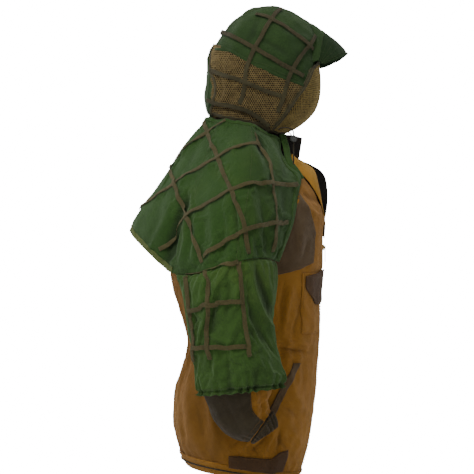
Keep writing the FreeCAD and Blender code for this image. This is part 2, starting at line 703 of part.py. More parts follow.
# Tape paths in (station, angle).
SLEEVE_LONG = [
    [(0.1, 62), (2.5, 58), (5.0, 62), (6.1, 60)],
    [(0.1, 108), (2.5, 112), (5.0, 110), (6.0, 108)],
    [(0.2, 152), (2.5, 152), (5.0, 150), (6.1, 150)]]
SLEEVE_ACROSS = [
    [(0.35, 154), (0.3, 108), (0.25, 60)],
    [(2.2, 154), (1.8, 108), (1.7, 58)],
    [(4.3, 152), (4.2, 108), (4.1, 60)]]


def sleeve_tapes(paths, count, lift):
    return [garnish(cape_sleeve, sampled(path, count), lift, 0.05, cape_sleeve_inside)
            for path in paths]


save_pair("sleeve_tapes_long", *sleeve_tapes(SLEEVE_LONG, 10, TAPE_LOW))
save_pair("sleeve_tapes_across", *sleeve_tapes(SLEEVE_ACROSS, 9, TAPE_HIGH))

# ----------------------------------------------------------------- hood
# The hood is a rounded shell over its outline in the side elevation.  Polar angles are
# measured about the hood's centre from the front (-Y) upwards.
HOOD_HALF = 103.0       # half width of the hood
HOOD_Y, HOOD_Z = -50.6, 871.2          # centre in the side elevation
HOOD_P, HOOD_Q = 2.55, 2.15            # roundness of the shell, outwards and across
HOOD_INSIDE = (0.0, -50.0, 868.0)
HOOD_EDGE = [  # drawn y, z of the outline, from the brow over the crown, nape and throat
    (-174.9, 930.6), (-174.24, 957), (-165, 973.5), (-150.92, 988.46), (-122.76, 1006.72),
    (-89.1, 1019.26), (-60.94, 1023.22), (-27.28, 1015.08), (-4.84, 1002.54), (17.6, 982.96),
    (34.32, 963.16), (45.54, 946.44), (56.76, 924), (63.8, 904.2), (69.52, 879.12),
    (73.48, 845.46), (74.36, 811.8), (71.28, 792), (64.24, 776.6), (50.6, 737),
    (8.8, 701.8), (-50.6, 690.8), (-112.2, 708.4), (-158.4, 761.2), (-184.8, 816.2),
    (-191.4, 860.2), (-184.8, 899.8)]


def hood_polar(y, z):
    """Polar angle and radius of a drawn point."""
    ahead, up = HOOD_Y - y, z - HOOD_Z
    return math.atan2(up, ahead), math.hypot(ahead, up)


# the sorted outline, continued by two points at either end so that it joins smoothly
OUTLINE = sorted(hood_polar(*p) for p in HOOD_EDGE)
OUTLINE = ([(a - 2 * math.pi, r) for a, r in OUTLINE[-2:]] + OUTLINE
           + [(a + 2 * math.pi, r) for a, r in OUTLINE[:2]])
OUTLINE_A, OUTLINE_R = zip(*OUTLINE)


def hood_radius(a):
    """Radius of the outline at polar angle a."""
    return table(OUTLINE_A, OUTLINE_R, math.atan2(math.sin(a), math.cos(a)))


def hood_place(x, a, radius):
    return place(x, HOOD_Y - radius * math.cos(a), HOOD_Z + radius * math.sin(a))


def hood(y, z):
    """Right half of the hood over the drawn (y, z)."""
    a, radius = hood_polar(y, z)
    rho = min(radius / hood_radius(a), 0.9995)
    return place(-HOOD_HALF * (1 - rho ** HOOD_P) ** (1 / HOOD_Q), y, z)


def hood_at_x(x, a):
    """Point of the hood at a given x on the polar angle a."""
    rho = (1 - (abs(x) / HOOD_HALF) ** HOOD_Q) ** (1 / HOOD_P)
    return hood_place(x, a, rho * hood_radius(a))


# The hood's own plane holds each point at a distance from the centre that is its angle from
# the side pole, so that patches can run up to the outline.
def to_plane(y, z):
    a, radius = hood_polar(y, z)
    psi = math.asin(min(radius / hood_radius(a), 0.9999) ** (HOOD_P / 2))
    return (psi * math.cos(a), psi * math.sin(a))


def hood_plane(p):
    """Right half of the hood over its own plane."""
    psi, a = math.hypot(*p), math.atan2(p[1], p[0])
    x = -HOOD_HALF * abs(math.cos(psi)) ** (2 / HOOD_Q)
    return hood_place(x, a, math.sin(psi) ** (2 / HOOD_P) * hood_radius(a))


A_BROW, A_JOIN, A_NAPE = math.radians(38.0), math.radians(150.0), math.radians(218.5)
STRIP_A = [A_BROW, math.radians(90.0), math.radians(140.0), math.radians(170.0),
           math.radians(195.0), A_NAPE]
STRIP_W = [26.0, 27.0, 30.0, 44.0, 50.0, 42.0]   # half width of the strip at those angles


def crown_strip(s, a):
    """s runs across from the left edge (-1) to the right edge (1), a along the strip."""
    return hood_at_x(-s * table(STRIP_A, STRIP_W, a), a)


def strip_edge(a):
    """Point of the hood's plane just beyond the strip's right edge."""
    x = table(STRIP_A, STRIP_W, a) + SEAM + 0.3
    psi = math.acos((x / HOOD_HALF) ** (HOOD_Q / 2))
    return (psi * math.cos(a), psi * math.sin(a))


def hood_patch(top, low, front, back, s_values, t_values):
    """Ply over the patch bounded by four curves of the hood's plane.
    s runs from the front curve to the back one, t from top to low."""
    def along(curve, k):
        return spline(curve, k * (len(curve) - 1))

    def patch(s, t):
        a, b, f, g = along(top, s), along(low, s), along(front, t), along(back, t)
        return hood_plane([
            (1 - t) * a[i] + t * b[i] + (1 - s) * f[i] + s * g[i]
            - ((1 - s) * (1 - t) * top[0][i] + s * (1 - t) * top[-1][i]
               + (1 - s) * t * low[0][i] + s * t * low[-1][i])
            for i in range(2)])

    return sheet(patch, s_values, t_values, 0, CLOTH, HOOD_INSIDE, 0.01)


# Drawn y, z of the seams.
NET_TOP = [(-140.8, 849.2), (-121, 857.34), (-94.6, 867.24), (-66.66, 879.12),
           (-46.2, 888.8), (-27.28, 898.7), (-4.4, 910.8), (17.6, 924)]
NET_LOW = [(-66, 749.1), (-55, 755.7), (-41.8, 761.64), (-24.2, 766.7),
           (-4.4, 770.88), (17.6, 774.4), (37.4, 777.48)]
NET_FRONT = [(-121, 822.8), (-103.4, 796.4), (-85.8, 771.1), NET_LOW[0]]
SIDE_FRONT = [(-166.1, 926.2), (-162.8, 899.8), (-156.2, 873.4)]
NET_HALF_GAP = 0.66     # half the gap between the side and the net
JOIN_HALF_GAP = 0.02    # the same at the strip, in radians


def hood_side():
    top = [strip_edge(a) for a in spread(A_BROW, A_JOIN - JOIN_HALF_GAP, 11)]
    low = [to_plane(y, z + NET_HALF_GAP) for y, z in NET_TOP] + [top[-1]]
    front = [top[0]] + [to_plane(*p) for p in SIDE_FRONT] + [low[0]]
    back = [top[-1]] * 3   # the patch runs to a point
    return hood_patch(top, low, front, back, spread(0, 0.96, 13), spread(0.0, 1.0, 8))


def hood_net():
    back = [strip_edge(a) for a in spread(A_JOIN + JOIN_HALF_GAP, A_NAPE - 0.01, 6)]
    top = [to_plane(y, z - NET_HALF_GAP) for y, z in NET_TOP] + [back[0]]
    low = [to_plane(*p) for p in NET_LOW] + [back[-1]]
    front = [top[0]] + [to_plane(*p) for p in NET_FRONT]
    return hood_patch(top, low, front, back, spread(0.0, 1.0, 13), spread(0.0, 1.0, 9))


save("hood_crown_strip", sheet(crown_strip, spread(-1.0, 1.0, 5), spread(A_BROW, A_NAPE, 19),
                               0, CLOTH, HOOD_INSIDE, 0.01))
save_both("hood_side", hood_side())
save_both("hood_net", hood_net())

# Tape paths in drawn y, z: across from back to front, and down.
HOOD_ACROSS = [
    [(-44, 1004.3), (-77.88, 985.6), (-122.76, 957.66), (-147.4, 939.4), (-160.6, 928.4)],
    [(19.8, 956.56), (-2.2, 949.3), (-35.86, 932.36), (-74.8, 907.5), (-114.4, 881.76),
     (-143, 869)],
    [(51.7, 882.2), (23.1, 870.54), (-7.7, 859.32), (-49.72, 839.74), (-91.96, 825.66),
     (-107.8, 819.5)],
    [(55, 807.4), (17.6, 800.58), (-22, 790.9), (-50.6, 773.3), (-70.4, 764.5)],
]
HOOD_DOWN = [
    [(45.1, 904.2), (42.9, 877.8), (40.7, 851.4), (41.14, 825), (41.8, 800.8)],
    [(-73.7, 993.3), (-66.66, 980.1), (-49.72, 951.94), (-30.14, 921.14), (-14.3, 890.34),
     (-8.36, 856.68), (-8.8, 823.02), (-3.3, 789.8)],
    [(-159.5, 950.4), (-145.2, 926.86), (-117.04, 884.62), (-104.5, 853.82), (-96.8, 822.8),
     (-84.7, 789.8)],
]
TAPE_LIMIT = 0.955      # tapes keep within this share of the outline's radius


def drawn_in(y, z):
    """The drawn point, moved towards the centre where it comes too close to the outline."""
    a, radius = hood_polar(y, z)
    k = min(1.0, TAPE_LIMIT * hood_radius(a) / max(radius, 1e-6))
    return (HOOD_Y + (y - HOOD_Y) * k, HOOD_Z + (z - HOOD_Z) * k)


def hood_tapes(paths, lift):
    return [garnish(hood, [drawn_in(*p) for p in sampled(path, 12)], lift, 0.66, HOOD_INSIDE)
            for path in paths]


save_pair("hood_tapes_across", *hood_tapes(HOOD_ACROSS, TAPE_HIGH))
save_pair("hood_tapes_down", *hood_tapes(HOOD_DOWN, TAPE_LOW))

# Channel along the face edge, standing just ahead of the hood; drawn y, z.
FACE_EDGE = [(-159.5, 884.4), (-143.44, 849.2), (-124.3, 822.8), (-106.7, 796.4),
             (-89.1, 771.1), (-71.5, 752.4)]
save_pair("face_edge_channel",
          tube([add(hood(*p), (0, -6.0, 0)) for p in sampled(FACE_EDGE, 12)], 3.2))

# ----------------------------------------------------------------- peak
# Points from the middle to the wearer's right end.
PEAK_ROOT = [(0, -177, 969), (-16, -176, 966.5), (-30, -174.5, 957),
             (-46, -173, 936), (-58.5, -172, 915), (-66, -171, 897)]
PEAK_RIM = [(0, -238, 919), (-18, -236, 917), (-36, -228, 911),
            (-52, -213, 903.5), (-62, -197, 897), (-67, -181, 891.5)]
PEAK_INSIDE = (0.0, -180.0, 700.0)


def peak(s, t):
    """s runs across from the left end (-1) to the right end (1), t from the root to the rim."""
    p = mix(spline(PEAK_ROOT, abs(s) * 5), spline(PEAK_RIM, abs(s) * 5), t)
    bulge = 5.0 * math.sin(math.pi * clamp(t, 0.0, 1.0)) * max(0.0, 1 - s * s)
    return (p[0] if s > 0 else -p[0], p[1], p[2] + bulge)


for name, reach, t_start, t_end, lift, thick in (
        ("peak_top", 1, 0.02, 1, 1.1, 1.2),
        ("peak_stiffener", 0.96, 0.06, 0.95, -0.7, 1.4),
        ("peak_underside", 1, 0.02, 1, -2.3, 1.2)):
    save(name, sheet(peak, spread(-reach, reach, 13), spread(t_start, t_end, 6),
                     lift, thick, PEAK_INSIDE, 0.01))

# ----------------------------------------------------------------- face veil
# From the brow to the throat: drawn y, z of the middle line, and x, drawn y, z of the side.
VEIL_MID = [(-174.9, 906.4), (-179.3, 866.8), (-177.1, 827.2), (-167.2, 794.2),
            (-147.4, 770), (-121, 751.3), (-96.8, 741.4)]
VEIL_SIDE = [(-74, -154, 880), (-77, -132, 847), (-78, -110, 819.5), (-77, -92.4, 796.4),
             (-74, -79.2, 777.7), (-68, -68.2, 761.2), (-60, -59.4, 748)]
VEIL_INSIDE = (0.0, -60.0, 820.0)


def veil(s, t):
    """s runs from the left side (-1) to the right (1), t from the brow to the throat."""
    turn = abs(s) * math.pi / 2
    middle = spline(VEIL_MID, t * 6)
    side_x, *side = spline(VEIL_SIDE, t * 6)
    share = 1 - math.cos(turn) ** 0.85
    q = place(side_x * math.sin(turn), *mix(middle, side, share))
    return (q[0] if s > 0 else -q[0], q[1], q[2])


save("face_veil", sheet(veil, spread(-0.92, 0.92, 13), spread(0.06, 1.0, 9),
                        0.0, 1.6, VEIL_INSIDE, 0.008))
save("veil_top_binding", sheet(veil, spread(-0.68, 0.68, 13), spread(0.065, 0.11, 3),
                               2.4, 1.4, VEIL_INSIDE, 0.008))

# ----------------------------------------------------------------- throat drawcord and locks
CORD_R = 1.4
CORD_X, CORD_Y = -90.0, -118.0
LOCK_X, LOCK_Z = CORD_X + 1.0, 727.0   # centre of the lock, in line with the cord in y
LOCK_R, LOCK_LENGTH = 7.5, 15.0
LOCK_WALL = 2.0         # closed end of the barrel
BORE_R, PLUNGER_R = 5.2, 5.1
PLUNGER_LENGTH = 11.0
CAP_R, CAP_THICK = 6.6, 2.6
EYE_R = 2.6             # cord eye through the lock, up and down
PRESS = 2.0             # plunger travel
SHIFT = PRESS / 2       # the plunger's eye stands this far out of line at rest
COIL_R, COIL_WIRE_R, COIL_PITCH = 3.6, 0.32, 0.8
LINK_R = 0.26           # links joining the coils


def lock_rod(radius, length, start):
    """Cylinder running towards -X from start, given from the lock's centre."""
    return Part.makeCylinder(radius, length, Vector(LOCK_X + start, CORD_Y, LOCK_Z),
                             Vector(-1, 0, 0))


def lock_eye(shift):
    return Part.makeCylinder(EYE_R, 20.0, Vector(LOCK_X - 1.0 - shift, CORD_Y, LOCK_Z - 10.0),
                             Vector(0, 0, 1))


def lock_body():
    body = lock_rod(LOCK_R, LOCK_LENGTH, LOCK_LENGTH / 2)
    body = body.makeFillet(1.6, [e for e in body.Edges if e.Closed])
    body = body.cut(lock_rod(BORE_R, LOCK_LENGTH, LOCK_LENGTH / 2 - LOCK_WALL))
    return body.cut(lock_eye(0.0))


def lock_plunger():
    """Stem, end cap on the wearer's right and the neck that joins them, drilled for the cord."""
    start = 3.2 - SHIFT
    end = start - PLUNGER_LENGTH
    plunger = lock_rod(PLUNGER_R, PLUNGER_LENGTH, start)
    plunger = plunger.fuse(lock_rod(CAP_R, CAP_THICK, end - 1.6))
    plunger = plunger.fuse(lock_rod(PLUNGER_R, 2.0, end + 0.2))
    return plunger.cut(lock_eye(SHIFT)).removeSplitter()


def lock_spring():
    """Three coils joined by a link above and a link below."""
    first = LOCK_X + 3.1
    axis = Vector(1, 0, 0)
    coils = [Part.makeTorus(COIL_R, COIL_WIRE_R,
                            Vector(first + k * COIL_PITCH, CORD_Y, LOCK_Z), axis)
             for k in range(3)]
    links = [Part.makeCylinder(LINK_R, COIL_PITCH,
                               Vector(first + k * COIL_PITCH, CORD_Y, LOCK_Z + up), axis)
             for k, up in enumerate((COIL_R, -COIL_R))]
    return coils[0].fuse(coils[1:] + links)


def throat_cord():
    """Cord from the neck down through the lock, ending in a knot."""
    path = [(-89, -85, 748), (-90, -95, 751), (CORD_X, -107, 750.5), (CORD_X, -115.5, 745.5)]
    path += [(CORD_X, CORD_Y, z) for z in (738, 715, 692, 672)]
    return tube(path, CORD_R).fuse(Part.makeSphere(3.0, Vector(CORD_X, CORD_Y, 670)))


save_both("cord_lock_body", lock_body())
save_both("cord_lock_plunger", lock_plunger())
save_both("cord_lock_spring", lock_spring())
save_pair("throat_cord", throat_cord())

# ----------------------------------------------------------------- hem drawcord
HEM_CORD_Z, HEM_CORD_OUT, HEM_CORD_R = 13.0, 9.5, 1.6


def hem_drawcord():
    """Cord round the outside of the hem, open at the centre front."""
    path = []
    for angle in spread(14.0, 346.0, 40):
        x, y, _ = torso(angle, HEM_CORD_Z)
        out = unit((x, y + 3.0, 0.0))
        path.append(add((x, y, HEM_CORD_Z + HEM_SLOPE * y), out, HEM_CORD_OUT))
    return tube(path, HEM_CORD_R)


save("hem_drawcord", hem_drawcord())
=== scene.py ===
import bpy
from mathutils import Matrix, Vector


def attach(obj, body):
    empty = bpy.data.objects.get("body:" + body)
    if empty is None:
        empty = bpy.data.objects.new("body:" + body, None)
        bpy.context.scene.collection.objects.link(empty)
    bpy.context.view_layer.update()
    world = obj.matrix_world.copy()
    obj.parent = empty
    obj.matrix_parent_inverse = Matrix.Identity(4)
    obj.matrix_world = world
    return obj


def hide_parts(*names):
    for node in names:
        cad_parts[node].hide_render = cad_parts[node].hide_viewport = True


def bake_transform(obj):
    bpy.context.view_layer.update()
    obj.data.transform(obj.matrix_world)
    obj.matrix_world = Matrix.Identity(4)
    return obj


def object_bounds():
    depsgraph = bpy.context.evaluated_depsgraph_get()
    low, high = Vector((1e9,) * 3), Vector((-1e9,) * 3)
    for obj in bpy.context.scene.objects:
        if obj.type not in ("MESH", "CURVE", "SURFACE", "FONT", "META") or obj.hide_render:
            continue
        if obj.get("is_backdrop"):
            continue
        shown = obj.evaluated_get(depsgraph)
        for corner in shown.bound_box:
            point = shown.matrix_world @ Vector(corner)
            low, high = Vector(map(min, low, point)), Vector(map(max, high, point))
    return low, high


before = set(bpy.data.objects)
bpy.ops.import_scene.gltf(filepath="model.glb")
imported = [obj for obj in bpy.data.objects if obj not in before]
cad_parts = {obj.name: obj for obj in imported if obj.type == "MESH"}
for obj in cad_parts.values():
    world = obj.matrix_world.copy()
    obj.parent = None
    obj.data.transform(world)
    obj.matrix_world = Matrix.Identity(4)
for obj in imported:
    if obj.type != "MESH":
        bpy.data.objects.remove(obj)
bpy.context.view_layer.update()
import bpy, bmesh, math
import numpy as np
from mathutils import Vector, Matrix
from mathutils.bvhtree import BVHTree

RNG = np.random.default_rng(7)
MM = 0.001

# ------------------------------------------------------------------ drafting helpers (millimetres)
GRID, DRAFT_D, U0, W0, WC = 2.2, 5000.0, 239.0, 471.0, 237.0


def draft(u, w, x):
    k = (DRAFT_D - np.abs(x)) / DRAFT_D
    return np.stack([x, -(u - U0) * GRID * k, (W0 - WC) * GRID + (WC - w) * GRID * k], -1)


def to_px(p):
    """Side elevation column and row of points in mm."""
    k = (DRAFT_D - np.abs(p[..., 0])) / DRAFT_D
    return U0 - p[..., 1] / (GRID * k), WC - (p[..., 2] - (W0 - WC) * GRID) / (GRID * k)


def cat(P, s):
    """Catmull-Rom through P (n, d) at parameters s (any shape)."""
    P = np.asarray(P, float)
    n = len(P)
    Q = np.concatenate([[2 * P[0] - P[1]], P, [2 * P[-1] - P[-2]]])
    s = np.clip(np.asarray(s, float), 0, n - 1)
    i = np.minimum(s.astype(int), n - 2)
    t = (s - i)[..., None]
    a, b, c, d = Q[i], Q[i + 1], Q[i + 2], Q[i + 3]
    return 0.5 * (2 * b + (c - a) * t + (2 * a - 5 * b + 4 * c - d) * t ** 2 + (3 * b - a - 3 * c + d) * t ** 3)


def basis(n, s):
    """Catmull-Rom weights (len(s), n)."""
    return cat(np.eye(n), s)


def grid_eval(G, r, c):
    """G (nr, nc, d) at matching arrays r, c."""
    G = np.asarray(G, float)
    br, bc = basis(G.shape[0], np.ravel(r)), basis(G.shape[1], np.ravel(c))
    out = np.einsum("ki,kj,ijd->kd", br, bc, G)
    return out.reshape(np.shape(r) + (G.shape[2],))


def table(xs, ys, x):
    xs, ys = np.asarray(xs, float), np.asarray(ys, float)
    m = np.gradient(ys, xs)
    m[1:-1] = (ys[2:] - ys[:-2]) / (xs[2:] - xs[:-2])
    m[0], m[-1] = (ys[1] - ys[0]) / (xs[1] - xs[0]), (ys[-1] - ys[-2]) / (xs[-1] - xs[-2])
    x = np.clip(x, xs[0], xs[-1])
    i = np.clip(np.searchsorted(xs, x) - 1, 0, len(xs) - 2)
    h = xs[i + 1] - xs[i]
    t = (x - xs[i]) / h
    return ((2 * t ** 3 - 3 * t ** 2 + 1) * ys[i] + (t ** 3 - 2 * t ** 2 + t) * h * m[i]
            + (-2 * t ** 3 + 3 * t ** 2) * ys[i + 1] + (t ** 3 - t ** 2) * h * m[i + 1])


def smooth(a, b, x):
    t = np.clip((x - a) / (b - a), 0, 1)
    return t * t * (3 - 2 * t)


class Noise:
    """Smooth periodic-free value noise from random waves."""
    def __init__(self, seed, n=14, lo=0.6, hi=2.2):
        r = np.random.default_rng(seed)
        a = r.uniform(0, 2 * np.pi, n)
        f = r.uniform(lo, hi, n)
        self.k = np.stack([np.cos(a) * f, np.sin(a) * f], -1)
        self.p = r.uniform(0, 2 * np.pi, n)
        self.w = r.uniform(0.5, 1, n)
        self.w /= np.sqrt((self.w ** 2).sum() / 2)

    def __call__(self, x, y, size):
        v = 0
        for (kx, ky), p, w in zip(self.k, self.p, self.w):
            v = v + w * np.sin((kx * x + ky * y) * 2 * np.pi / size + p)
        return v / 1.4


def creases(U, W, feats, edge=3.0):
    """Displacement in mm from listed folds: (points, width, height, sharp).  Ridges are positive, valleys negative;
    a sharp fold drops off faster on its right-hand side."""
    out = np.zeros_like(U)
    for pts, width, height, *rest in feats:
        sharp = rest[0] if rest else 0.0
        n = 8 * (len(pts) - 1) + 1
        P = cat(pts, np.linspace(0, len(pts) - 1, n))
        best = np.full(U.shape, 1e9)
        side = np.zeros(U.shape)
        along = np.zeros(U.shape)
        for i in range(n - 1):
            a, b = P[i], P[i + 1]
            d = b - a
            L2 = (d ** 2).sum() + 1e-9
            t = np.clip(((U - a[0]) * d[0] + (W - a[1]) * d[1]) / L2, 0, 1)
            qx, qy = U - (a[0] + d[0] * t), W - (a[1] + d[1] * t)
            dist = np.hypot(qx, qy)
            m = dist < best
            best = np.where(m, dist, best)
            side = np.where(m, np.sign(d[0] * qy - d[1] * qx), side)
            along = np.where(m, (i + t) / (n - 1), along)
        wd = width * (1 - sharp * 0.55 * (side < 0) + sharp * 0.35 * (side > 0))
        taper = np.sin(np.pi * np.clip(along * 0.86 + 0.07, 0, 1)) ** 0.6
        out += height * np.exp(-(best / wd) ** 2) * taper
    return out


# ------------------------------------------------------------------ mesh helpers
def grid_mesh(name, P, closed_u=False, uv=None, flip=False, shade=None):
    """Mesh over points P (nr, nc, 3) in mm, with a UV layer in metres along the cloth."""
    nr, nc = P.shape[:2]
    me = bpy.data.meshes.new(name)
    co = (P.reshape(-1, 3) * MM)
    idx = np.arange(nr * nc).reshape(nr, nc)
    if closed_u:
        right = np.roll(idx, -1, 1)
        a, b, c, d = idx[:-1], right[:-1], right[1:], idx[1:]
    else:
        a, b, c, d = idx[:-1, :-1], idx[:-1, 1:], idx[1:, 1:], idx[1:, :-1]
    f = np.stack([a, b, c, d], -1).reshape(-1, 4)
    if flip:
        f = f[:, ::-1]
    me.vertices.add(len(co))
    me.vertices.foreach_set("co", co.ravel())
    me.loops.add(f.size)
    me.loops.foreach_set("vertex_index", f.ravel().astype(np.int32))
    me.polygons.add(len(f))
    me.polygons.foreach_set("loop_start", np.arange(0, f.size, 4, dtype=np.int32))
    me.update(calc_edges=True)
    if uv is None:
        du = np.linalg.norm(np.diff(P, axis=1), axis=-1).mean(0)
        dv = np.linalg.norm(np.diff(P, axis=0), axis=-1).mean(1)
        uu = np.concatenate([[0], np.cumsum(du)])
        vv = np.concatenate([[0], np.cumsum(dv)])
        uv = np.stack(np.meshgrid(uu, vv), -1)
    layer = me.uv_layers.new(name="cloth")
    L = (uv.reshape(-1, 2) * MM)[f.ravel()]
    layer.data.foreach_set("uv", L.astype(np.float32).ravel())
    me.polygons.foreach_set("use_smooth", np.ones(len(f), bool))
    if shade is not None:
        at = me.attributes.new("shade", "FLOAT", "POINT")
        at.data.foreach_set("value", np.clip(shade, 0, 1).astype(np.float32).ravel())
    me.update()
    ob = bpy.data.objects.new(name, me)
    bpy.context.scene.collection.objects.link(ob)
    return ob


def shell_mesh(name, P, N, t):
    """Closed thin cloth made of two layers and a rim, with no modifier."""
    nr, nc = P.shape[:2]
    V = np.concatenate([(P + N * t / 2).reshape(-1, 3), (P - N * t / 2).reshape(-1, 3)])
    idx = np.arange(nr * nc).reshape(nr, nc)
    q = np.stack([idx[:-1, :-1], idx[:-1, 1:], idx[1:, 1:], idx[1:, :-1]], -1).reshape(-1, 4)
    m = nr * nc
    F = [q, q[:, ::-1] + m]
    for e in (idx[0], idx[-1][::-1], idx[:, 0][::-1], idx[:, -1]):
        F.append(np.stack([e[1:], e[:-1], e[:-1] + m, e[1:] + m], -1))
    ob = face_mesh(name, V, np.concatenate(F))
    layer = ob.data.uv_layers.new(name="cloth")
    uv = V[:, [0, 2]] * MM
    li = np.zeros(len(ob.data.loops), dtype=np.int32)
    ob.data.loops.foreach_get("vertex_index", li)
    layer.data.foreach_set("uv", uv[li].astype(np.float32).ravel())
    return ob


def face_mesh(name, V, F, smooth_on=True):
    me = bpy.data.meshes.new(name)
    me.from_pydata([tuple(v) for v in np.asarray(V) * MM], [], [tuple(int(i) for i in f) for f in F])
    me.update()
    me.polygons.foreach_set("use_smooth", np.full(len(me.polygons), smooth_on))
    ob = bpy.data.objects.new(name, me)
    bpy.context.scene.collection.objects.link(ob)
    return ob


def normals_of(P, closed=False):
    if closed:
        Q = np.concatenate([P[:, -1:], P, P[:, :1]], 1)
        du = Q[:, 2:] - Q[:, :-2]
    else:
        du = np.gradient(P, axis=1)
    dv = np.gradient(P, axis=0)
    n = np.cross(du, dv)
    return n / (np.linalg.norm(n, axis=-1, keepdims=True) + 1e-12)


def outward(N, P, centre):
    s = np.sign((N * (P - np.asarray(centre))).sum(-1).mean())
    return N * (s if s else 1.0)


def thicken(ob, t, offset=-1.0, sub=0, rim=True):
    m = ob.modifiers.new("ply", "SOLIDIFY")
    m.thickness = t * MM
    m.offset = offset
    m.use_rim = rim
    m.use_even_offset = False
    if sub:
        s = ob.modifiers.new("smooth", "SUBSURF")
        s.levels = s.render_levels = sub
    return ob


def paint(ob, mat):
    ob.data.materials.clear()
    ob.data.materials.append(mat)
    return ob


def put(ob, body, mat, replaces=()):
    paint(ob, mat)
    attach(ob, body)
    for n in ([replaces] if isinstance(replaces, str) else replaces):
        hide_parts(n)
    return ob


# ------------------------------------------------------------------ materials
def srgb(r, g, b):
    f = lambda v: (v / 255 / 12.92) if v / 255 <= 0.04045 else ((v / 255 + 0.055) / 1.055) ** 2.4
    return (f(r), f(g), f(b))


def node(nt, kind, **kw):
    n = nt.nodes.new(kind)
    for k, v in kw.items():
        if k.startswith("in_"):
            key = k[3:].replace("_", " ")
            key = int(key) if key.isdigit() else key
            n.inputs[key].default_value = v
        else:
            setattr(n, k, v)
    return n


